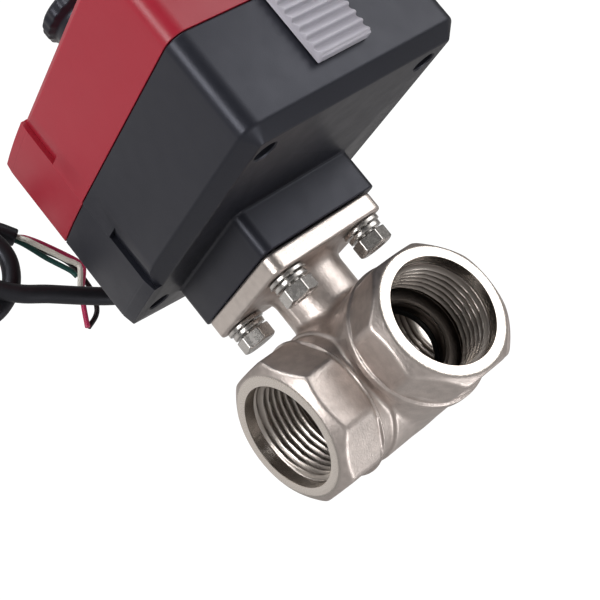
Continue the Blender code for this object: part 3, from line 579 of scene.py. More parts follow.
def body_field(x, y, z):
    """Casting: barrel along X, branch arm along Y, neck and square flange on top."""
    off_x, off_y, off_z = hypot(y, z), hypot(x, z), hypot(x, y)    # distance from each axis
    abs_x, abs_y = np.abs(x), np.abs(y)
    barrel = smax(off_x - BARREL_R, abs_x - 13.95, 0.7)
    collar = smax(off_x - COLLAR_R, abs_x - 18.2, 0.5)
    trunk = smin(barrel, collar, 0.5)
    arm = smax(off_y - (BARREL_R - 0.35), slab(y, -22.5, 15.0), 0.6)
    trunk = smin(trunk, arm, 1.0)
    # branch octagon, a little narrower towards +X
    branch = smax(octagon(np.where(x > 0, x * 1.07, x), z, 1.065),
                  turned_ends(off_y, -y, 21.0, PORT_BRANCH), 0.5)
    trunk = smin(trunk, branch, 0.3)
    shoulder = smax(off_y - 17.6, slab(-y, 18.4, 20.8), 0.5)
    trunk = smin(trunk, shoulder, 0.3)
    # neck with a thin rib across it along X
    rib = smax(abs_y - 0.9, abs_x - NECK_R + 0.15, 0.6)
    neck = smin(off_z - NECK_R + 0.3, rib, 0.8)
    neck = smax(neck, np.maximum(8.0 - z, z - FLANGE_BOTTOM - 1.0), 0.3)
    over_x = abs_x - FLANGE_HALF + FLANGE_CORNER
    over_y = abs_y - FLANGE_HALF + FLANGE_CORNER
    plate = (np.minimum(np.maximum(over_x, over_y), 0)
             + hypot(np.maximum(over_x, 0), np.maximum(over_y, 0)) - FLANGE_CORNER)
    middle, half = (FLANGE_BOTTOM + FLANGE_TOP) / 2, (FLANGE_TOP - FLANGE_BOTTOM) / 2
    plate = smax(plate, np.abs(z - middle) - half, 0.8)
    solid = smin(trunk, neck, 2.6)
    solid = smin(solid, plate, 3.6)
    # hollows: run cavity, branch lining, waterway and seat pocket, stem bores, bolt holes
    d = smax(solid, -smax(off_x - 14.7, abs_x - 19.0, 0.1), 0.35)
    lining = smax(off_y - LINER_R, np.maximum(y + PORT_BRANCH - 16.6, -y - 40), 0.1)
    d = np.maximum(d, -lining)
    d = np.maximum(d, -np.maximum(off_y - WATERWAY_R, slab(y, -20, 0)))
    d = np.maximum(d, -np.maximum(off_y - SEAT_POCKET_R, slab(y, -SEAT_POCKET_END, 0)))
    d = np.maximum(d, -np.maximum(off_z - 7.3, slab(z, 5, 17.2)))
    d = np.maximum(d, -np.maximum(off_z - 5.0, 5 - z))
    holes = hypot(abs_x - BOLT_PITCH, abs_y - BOLT_PITCH) - 2.75
    return smax(d, -np.maximum(holes, 26 - z), 0.3)


def machined(r, u, outer):
    """1 on the flat ring of a port face."""
    at_face = np.clip((u - outer + 0.25) / 0.2, 0, 1)
    return at_face * np.clip((FACE_RING_R + 0.3 - r) / 0.25, 0, 1)


def build_body():
    points, quads = surface_net(body_field, (-18.3, -PORT_BRANCH, -18.0),
                                (18.3, 17.5, FLANGE_TOP), NET_STEP)
    body = mesh_from("valve_body_casting", points, [quads], NICKEL)
    x, y, z = points.T
    tag(body, "machined", np.maximum(machined(hypot(x, z), -y, PORT_BRANCH),
                                     0.35 * (z > FLANGE_BOTTOM + 0.4)))
    finish(body, "housing", "valve_body")


def connector_field(x, y, z):
    """The -X end connector, with u outwards."""
    u, r = -x, hypot(y, z)
    d = smax(octagon(y, z), turned_ends(r, u, 18.55, PORT_RUN), 0.5)
    spigot = smax(r - 14.4, slab(u, 11.9, 20.5), 0.3)
    d = np.minimum(d, spigot)
    d = np.minimum(d, smax(r - 17.7, slab(u, 18.3, 18.8), 0.2))
    d = np.maximum(d, -np.maximum(r - LINER_R, PORT_RUN - 16.2 - u))
    d = np.maximum(d, -(r - WATERWAY_R))
    return np.maximum(d, -np.maximum(r - SEAT_POCKET_R, u - SEAT_POCKET_END))


def build_connectors():
    """The -X connector and its mirror image."""
    points, quads = surface_net(connector_field, (-PORT_RUN, -18.0, -18.0),
                                (-11.7, 18.0, 18.0), NET_STEP)
    x, y, z = points.T
    bright = machined(hypot(y, z), -x, PORT_RUN)
    for name, side, faces in (("left", 1, quads), ("right", -1, quads[:, ::-1])):
        connector = mesh_from(f"end_connector_{name}_body", points * np.array([side, 1, 1]),
                              [faces], NICKEL)
        tag(connector, "machined", bright)
        finish(connector, "housing", f"end_connector_{name}")


build_body()
build_connectors()

# ------------------------------------------------------------------- port threads
MINOR, MAJOR, PITCH = 12.06, 13.22, 1.814       # thread radii and pitch
LINER_STEPS = 168
THREAD_ROWS = 8 * 15


def smoothstep(t):
    t = np.clip(t, 0, 1)
    return t * t * (3 - 2 * t)


def thread_radius(angle, depth):
    """Radius of the female thread at a depth below the face: a rounded triangular
    form between the minor and major radius, faded in and out."""
    fraction = np.mod(depth / PITCH - angle / (2 * pi), 1.0)
    triangle = np.abs(2 * fraction - 1)
    form = 0.45 * triangle + 0.55 * (0.5 - 0.5 * np.cos(pi * triangle))
    r = MINOR + (MAJOR - MINOR) * form
    lead_in = smoothstep((depth - 3.1) / 1.1)
    run_out = smoothstep((15.1 - depth) / 0.7)
    return MAJOR + 0.1 - (MAJOR + 0.1 - r) * lead_in * run_out


def liner(name, axis, port, bore_end, shade_strength):
    """Threaded lining of a port with its turned face, shoulder, chamfer and bore."""
    # radius, depth below the face, 1 where the thread sets the radius
    rows = [(13.02, 0.0, 0), (13.28, 0.28, 0)]
    rows += [(0.0, depth, 1) for depth in np.linspace(0.5, 15.75, THREAD_ROWS)]
    rows += [(13.3, 15.88, 0), (13.2, 15.98, 0), (10.35, 15.98, 0), (10.2, 16.05, 0),
             (9.12, 17.25, 0), (9.02, 17.42, 0), (9.02, bore_end, 0),
             # outside, back up to the face
             (9.55, bore_end, 0), (9.55, 16.45, 0), (13.86, 16.15, 0), (13.86, 0.15, 0),
             (14.95, 0.12, 0), (14.95, -0.01, 0), (13.1, -0.01, 0)]
    rows = np.array(rows)
    threaded = rows[:, 2] > 0.5
    angle = np.linspace(0, 2 * pi, LINER_STEPS, endpoint=False)[:, None]
    depth = np.broadcast_to(rows[:, 1], (LINER_STEPS, len(rows)))
    radius = np.where(threaded, thread_radius(angle, depth), rows[:, 0])
    xyz = AXIS[axis](radius, angle + 0 * radius, port - depth)
    obj = mesh_from(name, np.stack(xyz, -1).reshape(-1, 3),
                    [grid_quads(LINER_STEPS, len(rows), True, True)], NICKEL)
    outward(obj)
    reshade(obj, 38)
    tag(obj, "machined", np.ones(radius.size))
    # painted shade: darkest in the thread roots and the bore, none near the face
    root = np.clip((radius - MINOR) / (MAJOR - MINOR), 0, 1)
    painted_shade = np.where(threaded, 0.30 + 0.62 * root, np.where(depth > 17.0, 0.85, 0.7))
    painted_shade = painted_shade * np.clip((depth - 2.6) / 1.6, 0, 1) * shade_strength
    tag(obj, "cavity", np.clip(painted_shade, 0, 0.96).ravel())
    finish(obj, "housing")


# the last argument sets how strongly painted shade darkens each port's inside
liner("run_port_left_thread", "-X", PORT_RUN, bore_end=17.5, shade_strength=0.72)
liner("run_port_right_thread", "+X", PORT_RUN, bore_end=17.5, shade_strength=1.06)
liner("branch_port_thread", "-Y", PORT_BRANCH, bore_end=18.9, shade_strength=1.06)

# ----------------------------------------------------------------- ball and seats
BALL_BORE = 8.6


def ball_field(x, y, z):
    """Ball with a through bore along X, a branch bore to -Y and a slot on top."""
    d = np.sqrt(x * x + y * y + z * z) - BALL_R
    bore = smin(hypot(y, z) - BALL_BORE, np.maximum(hypot(x, z) - BALL_BORE, y), 0.3)
    d = smax(d, -bore, 0.3)
    return smax(d, -smax(np.abs(x) - 2.6, 10.1 - z, 0.3), 0.3)


def build_ball():
    points, quads = surface_net(ball_field, (-14, -14, -14), (14, 14, 14), 0.5)
    ball = mesh_from("ball_polished", points, [quads], POLISHED)
    # painted shade on the bore walls inside the ball, darker with depth
    depth = BALL_R - 0.45 - np.sqrt((points ** 2).sum(1))
    tag(ball, "cavity", 0.9 * np.clip(depth / 1.2, 0, 1))
    finish(ball, "output", "ball")


build_ball()

# seat ring section: radius, distance from the ball centre
SEAT_SECTION = [(8.95, 12.0), (8.95, 13.1), (10.6, 13.1), (10.6, 11.0), (9.35, 11.0),
                (8.95, 11.5), (8.95, 12.0)]
for node, axis in (("seat_left", "-X"), ("seat_right", "+X"), ("seat_branch", "-Y")):
    seat = revolve(node + "_ring", round_profile(SEAT_SECTION, 0.18, 2)[:-1], SEAT_PTFE,
                   axis, sharp=60)
    finish(seat, "housing", node)

# --------------------------------------------------------------- flange fasteners
HEX_HALF = 4.0              # half across flats
BOLT_TURN = radians(20)
HEAD_BOTTOM = 21.9


def bolt_field(x, y, z):
    """Hexagon head bolt, head down, about its own axis; chamfered head with a dish."""
    hexagon = None
    for k in range(3):
        t = BOLT_TURN + pi / 6 + k * pi / 3
        d = np.abs(x * cos(t) + y * sin(t)) - HEX_HALF
        hexagon = d if hexagon is None else smax(hexagon, d, 0.22)
    r = hypot(x, y)
    head = smax(hexagon, np.abs(z - 23.7) - 1.8, 0.18)
    head = smax(head, (r - 3.95) * 0.5 + (HEAD_BOTTOM - z) * 0.866, 0.15)
    head = smax(head, (r - 4.35) * 0.42 + (z - 25.5) * 0.907, 0.15)
    shank = smax(r - 2.35, slab(z, 24.0, 41.5), 0.5)
    dish = smax(r - 2.2, np.abs(z - HEAD_BOTTOM) - 0.25, 0.3)
    return smax(np.minimum(head, shank), -dish, 0.3)


def washer_section(outer, bottom, start, top, rounding, seg):
    """Washer section, begun at height `start` on the hole's wall."""
    hole = 2.8
    points = [(hole, start), (hole, top), (outer, top), (outer, bottom), (hole, bottom),
              (hole, start)]
    return round_profile(points, rounding, seg)[:-1]


PLAIN_SECTION = washer_section(outer=4.9, bottom=27.4, start=27.9, top=28.4,
                               rounding=0.2, seg=3)
SPRING_SECTION = washer_section(outer=4.4, bottom=25.95, start=26.4, top=27.05,
                                rounding=0.15, seg=2)


def build_fasteners():
    points, quads = surface_net(bolt_field, (-4.8, -4.8, HEAD_BOTTOM), (4.8, 4.8, 41.5),
                                0.2)
    for place, side_x, side_y in (("front_left", -1, -1), ("front_right", 1, -1),
                                  ("rear_left", -1, 1), ("rear_right", 1, 1)):
        at = (side_x * BOLT_PITCH, side_y * BOLT_PITCH, 0.0)
        bolt = mesh_from(f"hex_bolt_{place}", points + np.array(at), [quads], STEEL)
        finish(bolt, "housing", f"flange_bolt_{place}")
        washer = revolve(f"plain_washer_{place}", PLAIN_SECTION, STEEL, at=at, steps=64,
                         sharp=50)
        finish(washer, "housing", f"flat_washer_{place}")
        washer = revolve(f"lock_washer_{place}", SPRING_SECTION, STEEL, at=at, steps=64,
                         sharp=50, gap=0.22, rise=0.22)
        finish(washer, "housing", f"spring_washer_{place}")


build_fasteners()

# ------------------------------------------------------------------------ housing
BASE_Z, TOP_Z = 44.9, 95.6          # underside of the shell, top of the cover
WALL, FLOOR = 2.4, 2.2              # thickness of the sides, of the base and the top
CHAMFER, TOP_CHAMFER = 3.3, 2.6
FRONT_R = 4.2                       # front corners in plan
SEAM_Y = 5.3                        # the sides step in here towards the back
SEAM_STEP = 0.45
TAIL_X, TAIL_Y = 30.4, 25.2         # tail corner in plan
BACK_HALF, BACK_EASE = 8.5, 2.2     # half width of the back flat, easing of its ends
RIGHT_SWELL = 1.05                  # the +X side stands a little further out
PEDESTAL_HALF, PEDESTAL_SHIFT = (17.5, 18.4), (1.45, 1.1)
PEDESTAL_R = 2.8
SCREWS = ((-25.0, -50.0), (25.0, -50.0), (-24.3, 18.4), (24.3, 18.4))
RELIEF_DEPTH, RELIEF_LENGTH = 1.9, 5.2
EXIT_Z = 59.0                       # height of the cable exit
TURRET_TOP = 103.2


def outline(inset, tail):
    """Plan outline at an inset; the drawn-in tail behind the seam has its own."""
    width, front = HALF_W - inset, FRONT_Y + inset
    r = max(FRONT_R - inset, 0.35)
    points = []
    for k in range(13):
        a = pi * 1.5 + k * pi / 24
        points.append((width - r + r * cos(a), front + r + r * sin(a)))
    points += [(width, y) for y in np.linspace(front + r + 2, SEAM_Y - 0.6, 9)]
    step = HALF_W - SEAM_STEP - tail
    points += [(width, SEAM_Y - 0.28), (width - 0.06, SEAM_Y - 0.1),
               (0.35 * width + 0.65 * step, SEAM_Y - 0.01), (step, SEAM_Y + 0.02)]
    # curved flank to the tail corner
    corner = np.array((TAIL_X - tail, TAIL_Y + 0.5 - 0.5 * tail))
    for s in np.linspace(0.08, 0.965, 15):
        points.append(((HALF_W - SEAM_STEP) * (1 - s ** 1.9) + TAIL_X * s ** 1.9 - tail,
                       SEAM_Y + 0.02 + (corner[1] - SEAM_Y) * s))
    flank_end = np.array(points[-1])
    back = np.array((BACK_HALF, BACK_Y - tail))
    along = (back - corner) / np.linalg.norm(back - corner)
    slope_start, slope_end = corner + along * 0.7, back - along * BACK_EASE
    points += [bezier(flank_end, corner, slope_start, k / 8) for k in range(1, 9)]
    # straight slope, then the eased end of the back flat
    points += [slope_start + (slope_end - slope_start) * s for s in (0.25, 0.5, 0.75)]
    flat_start = back - np.array((BACK_EASE, 0))
    points += [bezier(slope_end, back, flat_start, k / 6) for k in range(7)]
    points += [(BACK_HALF - 4.0, BACK_Y - tail), (2.0, BACK_Y - tail)]
    full = np.array(points + [(-x, y) for x, y in reversed(points)])
    full[:, 0] *= np.where(full[:, 0] > 0, RIGHT_SWELL, 1.0)
    return full


def at_height(plan, z):
    return np.column_stack([plan, np.full(len(plan), z)])


def ring(inset, z, tail=None):
    return at_height(outline(inset, inset if tail is None else tail), z)


def pedestal_ring(inset, z):
    """Rounded rectangle, set a little to the right and back."""
    (half_x, half_y), (shift_x, shift_y) = PEDESTAL_HALF, PEDESTAL_SHIFT
    half_x, half_y = half_x + shift_x - inset, half_y + shift_y - inset
    r = max(PEDESTAL_R - inset, 0.6)
    points = []
    for x, y, start in ((half_x - r, -half_y + r, -pi / 2), (half_x - r, half_y - r, 0),
                        (-half_x + r, half_y - r, pi / 2), (-half_x + r, -half_y + r, pi)):
        for k in range(9):
            a = start + k * pi / 2 / 8
            points.append((x + r * cos(a), y + r * sin(a)))
    return at_height(np.array(points) + PEDESTAL_SHIFT, z)


def relief(side, z0, z1):
    """Wedge cut in a flank, deepest at the seam and running out forwards."""
    outer = side * (HALF_W + 1.5)
    plan = np.array([(outer, SEAM_Y + 0.1),
                     (side * (HALF_W - RELIEF_DEPTH), SEAM_Y + 0.1),
                     (side * (HALF_W - RELIEF_DEPTH * 0.55), SEAM_Y - RELIEF_LENGTH * 0.42),
                     (side * (HALF_W + 0.05), SEAM_Y - RELIEF_LENGTH),
                     (outer, SEAM_Y - RELIEF_LENGTH)])
    return loft("tool", [at_height(plan, z0), at_height(plan, z1)])


def build_lower_housing():
    # inset, height: up the outside, over the rim with its lip, down the inside
    section = round_profile(
        [(8.0, BASE_Z), (CHAMFER, BASE_Z), (0.0, BASE_Z + CHAMFER), (0.0, PART_Z - 0.15),
         (0.75, PART_Z - 0.15), (0.75, PART_Z - 1.35), (WALL, PART_Z - 1.35),
         (WALL, BASE_Z + CHAMFER + 1.0), (CHAMFER + WALL, BASE_Z + FLOOR),
         (9.0, BASE_Z + FLOOR)],
        [0, 0.42, 0.6, 0.22, 0.12, 0, 0.1, 0.8, 0.5, 0], 5)
    rings = []
    for inset, z in section[1:-1]:
        on_chamfer = z < BASE_Z + CHAMFER and inset <= CHAMFER
        rings.append(ring(inset, z, inset * 0.2 if on_chamfer else inset))
    lower = loft("lower_housing_shell", rings, BLACK)

    # pedestal block under the shell: inset, height
    section = round_profile(
        [(3.0, PEDESTAL_Z), (0.0, PEDESTAL_Z), (0.0, BASE_Z - 0.55), (-0.35, BASE_Z - 0.12),
         (-0.75, BASE_Z + 0.0), (-0.75, BASE_Z + 1.4), (3.0, BASE_Z + 1.4)],
        [0, 0.5, 0.3, 0.2, 0, 0, 0], 5)
    boolean(lower, [loft("tool", [pedestal_ring(i, z) for i, z in section])], "UNION")

    tools = [relief(side, 44.0, 61.0) for side in (-1, 1)]
    recess = [(0, BASE_Z - 1), (3.1, BASE_Z - 1), (3.1, BASE_Z - 0.01),
              (2.75, BASE_Z + 0.3), (2.7, BASE_Z + 4.2), (0, BASE_Z + 4.2)]
    tools += [revolve("tool", recess, at=(x, y, 0), steps=40) for x, y in SCREWS]
    tools.append(cylinder(8.0, PEDESTAL_Z - 1, BASE_Z + 4))
    for side_x, side_y in product((-1, 1), repeat=2):
        at = (side_x * BOLT_PITCH, side_y * BOLT_PITCH, 0)
        tools.append(cylinder(2.65, PEDESTAL_Z - 1, 43.0, at=at, steps=28))
    # slide switch window in the front, cable exit in the back
    tools.append(block((-3.6, FRONT_Y - 2, 59.6), (3.6, FRONT_Y + WALL + 2, 70.4)))
    tools.append(cylinder(4.9, BACK_Y - 6, BACK_Y + 2, "+Y", (0, 0, EXIT_Z)))
    boolean(lower, tools)
    finish(lower, "housing", "lower_housing")


def build_upper_cover():
    # inset, height: down the inside, round the rim, up the outside
    section = round_profile(
        [(9.0, TOP_Z - FLOOR), (CHAMFER + WALL, TOP_Z - FLOOR),
         (WALL, TOP_Z - CHAMFER - 1.0), (WALL, PART_Z + 0.15), (0.0, PART_Z + 0.15),
         (0.0, TOP_Z - TOP_CHAMFER), (TOP_CHAMFER, TOP_Z), (9.0, TOP_Z)],
        [0, 0.5, 0.8, 0.15, 0.22, 0.5, 0.4, 0], 5)
    rings = []
    for inset, z in section[1:-1]:
        on_chamfer = z > TOP_Z - TOP_CHAMFER and inset <= TOP_CHAMFER
        rings.append(ring(inset, z, 0.12 * inset if on_chamfer else inset))
    upper = loft("upper_cover_shell", rings, RED)
    turret = round_profile(
        [(0, TOP_Z - 1.0), (12.9, TOP_Z - 1.0), (12.9, TOP_Z), (12.2, TOP_Z + 0.5),
         (11.6, TURRET_TOP), (0, TURRET_TOP)], [0, 0, 0.2, 0.3, 0.6, 0], 4)
    boolean(upper, [revolve("tool", turret)], "UNION")
    stem_hole = cylinder(7.2, TOP_Z - 5, 104.5, steps=72)
    boolean(upper, [stem_hole] + [relief(side, 82.5, 97.0) for side in (-1, 1)])
    finish(upper, "housing", "upper_cover")


def build_gasket():
    gasket = loft("housing_gasket_cord",
                  [ring(0.85, PART_Z - 1.0), ring(0.85, PART_Z + 0.2)], RUBBER)
    boolean(gasket, [loft("tool", [ring(2.0, PART_Z - 2.0), ring(2.0, PART_Z + 1.0)])])
    finish(gasket, "housing", "housing_gasket")


build_lower_housing()
build_upper_cover()
build_gasket()

# --------------------------------------------------------------------------- knob
KNOB_BOTTOM, KNOB_TOP = 103.6, 115.2


def flutes(angle, radius, along):
    """Shallow finger flutes round the grip disc."""
    depth = 0.28 * np.clip((radius - 11.2) / 0.8, 0, 1) * np.clip((along - 111.0) / 0.5, 0, 1)
    return radius - depth * (0.5 - 0.5 * np.cos(24 * angle))


def build_knob():
    """Fluted disc on a hub, with a grip bar along Y across its top."""
    section = round_profile(
        [(0, KNOB_TOP), (11.1, KNOB_TOP), (12.05, KNOB_TOP - 0.9), (12.05, KNOB_TOP - 3.2),
         (10.2, KNOB_TOP - 4.4), (9.7, KNOB_BOTTOM), (0, KNOB_BOTTOM)],
        [0, 0.5, 0.4, 0.4, 0.6, 0.4, 0], 5)
    knob = revolve("manual_knob_grip", section, BLACK, steps=192, radial=flutes, sharp=45)
    bar = block((-2.1, -10.9, KNOB_TOP - 1.0), (2.1, 10.9, KNOB_TOP + 2.6), radius=0.7)
    boolean(knob, [bar], "UNION")
    boolean(knob, [cylinder(3.9, KNOB_BOTTOM - 1, 113.0, steps=48),
                   cylinder(8.0, KNOB_BOTTOM - 1, KNOB_BOTTOM + 2.0)])
    finish(knob, "output", "manual_knob")


build_knob()

# ------------------------------------------------------------------- slide switch
SLIDE_RIBS = 9
# x across the pad, how far its end profile draws in
SLIDE_STATIONS = [(-7.6, 0.35), (-7.5, 0.1), (-7.25, 0.0), (7.25, 0.0), (7.5, 0.1), (7.6, 0.35)]


def build_slide_switch():
    """Ribbed pad on the front, with a neck through the housing wall."""
    (_, face, z0), (_, _, z1) = box_mm("slide_switch")
    rear = FRONT_Y - 0.35
    pitch = (z1 - z0 - 0.9) / SLIDE_RIBS
    profile = [(z0, rear), (z0, face + 0.55)]       # height, y
    for k in range(SLIDE_RIBS):
        z = z0 + 0.45 + k * pitch
        profile += [(z + 0.02, face + 0.38), (z + 0.16, face + 0.1), (z + 0.4, face),
                    (z + 0.66, face + 0.08), (z + 0.95, face + 0.3), (z + 1.35, face + 0.62),
                    (z + pitch - 0.35, face + 0.85), (z + pitch - 0.12, face + 0.72)]
    profile += [(z1, face + 0.62), (z1, rear)]
    height, y = np.array(profile).T
    middle = (z0 + z1) / 2
    rings = []
    for x, draw in SLIDE_STATIONS:
        rings.append(np.column_stack([np.full(len(y), x),
                                      np.where(y < rear - 0.2, y + draw, y),
                                      middle + (height - middle) * (1 - draw / 22)]))
    slide = loft("slide_switch_pad", rings, GREY, sharp=40)
    neck = block((-3.2, FRONT_Y - 1.0, 60.0), (3.2, FRONT_Y + WALL + 1.9, 65.0))
    boolean(slide, [neck], "UNION")
    slide.data.set_sharp_from_angle(angle=radians(40))
    finish(slide, "slide", "slide_switch")


build_slide_switch()

# -------------------------------------------------------------------------- cable
COIL_X, COIL_Z, COIL_R = -45.4, 82.9, 11.4
CABLE_R, WIRE_R = 2.42, 0.72
CABLE_END = (-25.3, 54.6, 87.5)
# x, y, z from inside the housing to the coil, then from the coil to the cut end
CABLE_START_KNOTS = [(0, BACK_Y - 8.0, EXIT_Z), (0, BACK_Y + 8.0, 58.6),
                     (-4.5, BACK_Y + 13.5, 56.8), (-11.0, 46.0, 56.2), (-18.6, 46.0, 58.9),
                     (-31.6, 46.0, 67.2), (-41.0, 46.3, 73.8)]
CABLE_END_KNOTS = [(-33.4, 54.4, 94.0), (-29.0, 54.5, 92.0), CABLE_END]
# radius, distance behind the housing
GLAND_SECTION = [(2.6, -4.2), (2.6, 6.6), (4.4, 6.6), (4.75, 5.7), (4.1, 5.3), (4.95, 4.7),
                 (5.3, 3.8), (4.6, 3.4), (5.55, 2.9), (6.1, 1.6), (6.4, 0.6), (6.4, -0.05),
                 (4.55, -0.05), (4.55, -4.2)]
GLAND_ROUNDING = [0, 0.3, 0.3, 0.2, 0.2, 0.2, 0.2, 0.2, 0.2, 0.3, 0.3, 0.1, 0, 0]
# wire: place in the jacket (across, back), y of the free length, its path in x and z
WIRES = {
    "wire_red": ((0.8, 0.5), 55.6, [
        (-22.6, 86.7), (-20.6, 84.3), (-18.5, 81.1), (-16.2, 77.3), (-14.4, 73.9),
        (-14.1, 72.0), (-15.0, 70.4), (-18.7, 66.4), (-21.1, 62.6), (-24.1, 57.0)]),
    "wire_white": ((0.0, -0.85), 52.2, [
        (-24.2, 84.6), (-22.8, 82.1), (-20.7, 78.6), (-18.7, 75.0), (-17.1, 72.7),
        (-17.0, 70.9), (-20.4, 66.5), (-23.4, 62.6)]),
    "wire_green": ((-0.8, -0.1), 54.0, [
        (-24.8, 84.6), (-23.7, 82.2), (-22.1, 78.5), (-20.2, 75.0), (-18.6, 72.0),
        (-18.2, 69.9)]),
    "wire_black": ((0.1, 0.9), 57.4, [
        (-23.6, 87.0), (-20.3, 82.5), (-15.7, 75.0), (-15.4, 65.5), (-17.2, 61.0),
        (-19.3, 58.8), (-23.0, 57.2)]),
}


def coil_point(across, down, y):
    """Steps across and down in the coil's slanted plane, at a given y."""
    return (COIL_X + 0.876 * across - 0.64 * down, y, COIL_Z - 0.498 * across - 0.888 * down)


def build_cable():
    knots = list(CABLE_START_KNOTS)
    for k in range(13):
        turn = radians(-168 + 36 * k)
        knots.append(coil_point(COIL_R * cos(turn), COIL_R * sin(turn), 47.6 + 0.55 * k))
    knots += CABLE_END_KNOTS
    cable = tube("cable_jacket", smooth_path(knots, 9), CABLE_R, RUBBER, sides=32,
                 end_round=0.25)
    finish(cable, "housing", "cable")


def build_gland():
    gland = revolve("cable_gland_boot", round_profile(GLAND_SECTION, GLAND_ROUNDING, 3),
                    RUBBER, "+Y", (0, BACK_Y + 0.35, EXIT_Z), steps=72, sharp=45)
    finish(gland, "housing", "cable_gland")


def build_wires():
    x, y, z = CABLE_END
    for name, ((across, back), depth, path) in WIRES.items():
        start = (x - 0.95 + 0.79 * across, y + back * 0.9, z + 1.2 + 0.62 * across)
        mouth = (x + 0.3 + 0.79 * across, y + back * 0.9, z - 0.4 + 0.62 * across)
        knots = [start, mouth] + [(px, depth, pz) for px, pz in path]
        wire = tube(name + "_core", smooth_path(knots, 8), WIRE_R, MATERIALS[name],
                    sides=16, end_round=0.2)
        finish(wire, "housing", name)


build_cable()
build_gland()
build_wires()

# eased edges on the plain CAD pieces inside the housing
for name in ("circuit_board", "gear_top_plate", "gear_base_plate", "clutch_fork",
             "output_gear", "third_gear", "second_gear", "limit_cam", "motor",
             "output_shaft"):
    mod = frame["nodes"][name].modifiers.new("edge", "BEVEL")
    mod.width = 0.00012
    mod.segments = 1
    mod.limit_method = "ANGLE"
    mod.angle_limit = radians(40)

# -------------------------------------------------------------------------- stage
scene = bpy.context.scene


def build_floor():
    """Wide pale floor that glows white to the camera only."""
    bm = bmesh.new()
    bmesh.ops.create_grid(bm, x_segments=1, y_segments=1, size=12.0)
    bmesh.ops.translate(bm, verts=bm.verts, vec=(0, 0, -0.9))
    mesh = bpy.data.meshes.new("studio_floor")
    bm.to_mesh(mesh)
    bm.free()
    floor = bpy.data.objects.new("studio_floor", mesh)
    scene.collection.objects.link(floor)
    mat = bpy.data.materials.new("pale_floor")
    mat.use_nodes = True
    shader = principled(mat)
    shader.inputs["Base Color"].default_value = (0.9, 0.9, 0.9, 1)
    shader.inputs["Roughness"].default_value = 0.9
    shader.inputs["Emission Color"].default_value = (1, 1, 1, 1)
    seen = add_node(mat.node_tree, "ShaderNodeLightPath").outputs["Is Camera Ray"]
    mat.node_tree.links.new(seen, shader.inputs["Emission Strength"])
    mesh.materials.append(mat)


def build_camera():
    """Camera at the front left, a little below the ball's height."""
    # rotation vector from the frame to view axes: x right, y down, z forwards
    turn = Vector((1.16305, -0.88172, -0.04286))
    place = Vector((-181.489, -246.154, -10.186))       # mm from the ball centre
    to_view = Quaternion(turn.normalized(), turn.length).to_matrix()
    rotation = to_view.transposed() @ Matrix(((1, 0, 0), (0, -1, 0), (0, 0, -1)))
    data = bpy.data.cameras.new("camera")
    camera = bpy.data.objects.new("camera", data)
    scene.collection.objects.link(camera)
    camera.matrix_world = (Matrix.Translation(Vector(CENTRE) + place * MM)
                           @ rotation.to_4x4())
    data.sensor_width = 36.0
    data.lens = 78.1482
    data.clip_start = 0.01
    data.clip_end = 100
    scene.camera = camera


# soft round patches of room brightness:
# direction, full within and gone beyond (degrees), brightness
ROOM_LEVEL = 0.11
ROOM_PATCHES = [
    ((0.60, -0.80, 0.0), 14, 46, 1.0),      # front right
    ((-0.55, 0.83, 0.0), 12, 48, 0.56),     # back left
    ((0.60, 0.80, -0.10), 14, 46, 0.9),     # back right
    ((0.25, 0.25, -0.93), 20, 58, 0.58),    # below
    ((0.0, 0.2, 1.0), 20, 60, 0.3),         # above
]


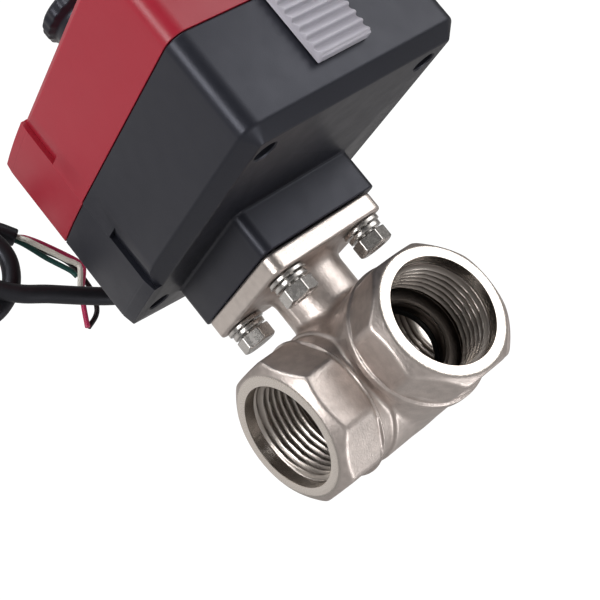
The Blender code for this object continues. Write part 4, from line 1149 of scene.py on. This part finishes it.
def build_world():
    """White to the camera; a dim room with bright patches that shape the metal."""
    world = bpy.data.worlds.new("studio")
    scene.world = world
    world.use_nodes = True
    tree = world.node_tree
    tree.nodes.clear()
    output = add_node(tree, "ShaderNodeOutputWorld")
    backdrop = add_node(tree, "ShaderNodeBackground",
                        {"Color": (1, 1, 1, 1), "Strength": 1.08})
    room = add_node(tree, "ShaderNodeBackground", {"Color": (1.0, 0.965, 0.94, 1)})
    mix = add_node(tree, "ShaderNodeMixShader",
                   {1: room.outputs["Background"], 2: backdrop.outputs["Background"]})
    seen = add_node(tree, "ShaderNodeLightPath").outputs["Is Camera Ray"]
    tree.links.new(seen, mix.inputs["Fac"])
    tree.links.new(mix.outputs["Shader"], output.inputs["Surface"])
    view = add_node(tree, "ShaderNodeTexCoord").outputs["Generated"]
    level = ROOM_LEVEL
    for direction, inner, outer, brightness in ROOM_PATCHES:
        dot = add_node(tree, "ShaderNodeVectorMath",
                       {0: view, 1: Vector(direction).normalized()},
                       operation="DOT_PRODUCT")
        patch = add_node(tree, "ShaderNodeMapRange", {
            "Value": dot.outputs["Value"], "From Min": cos(radians(outer)),
            "From Max": cos(radians(inner)), "To Max": brightness},
            interpolation_type="SMOOTHSTEP")
        level = add_node(tree, "ShaderNodeMath", {0: level, 1: patch.outputs["Result"]},
                         operation="ADD").outputs["Value"]
    tree.links.new(level, room.inputs["Strength"])


def softbox(name, direction, distance, size, power, colour=(1, 1, 1)):
    """Rectangular lamp aimed at a point above the ball; metres and watts."""
    focus = Vector(CENTRE) + Vector((-5, -10, 40)) * MM
    data = bpy.data.lights.new(name, "AREA")
    data.shape = "RECTANGLE"
    data.size, data.size_y = size
    data.energy = power
    data.color = colour
    lamp = bpy.data.objects.new(name, data)
    scene.collection.objects.link(lamp)
    d = Vector(direction).normalized()
    lamp.location = focus + d * distance
    lamp.rotation_euler = (-d).to_track_quat("-Z", "Y").to_euler()


build_floor()
build_camera()
build_world()
softbox("key_right", direction=(0.62, -0.78, 0.05), distance=0.7, size=(0.42, 0.5), power=1.25)
softbox("fill_left", direction=(-0.92, -0.30, 0.25), distance=0.8, size=(0.3, 0.5), power=3.6,
        colour=(1.0, 0.98, 0.97))
softbox("top", direction=(-0.2, -0.3, 1.0), distance=0.7, size=(0.4, 0.4), power=2.2)
softbox("low", direction=(0.15, -0.2, -1.0), distance=0.7, size=(0.4, 0.3), power=1.0)
scene.view_settings.view_transform = "Standard"
scene.view_settings.look = "None"
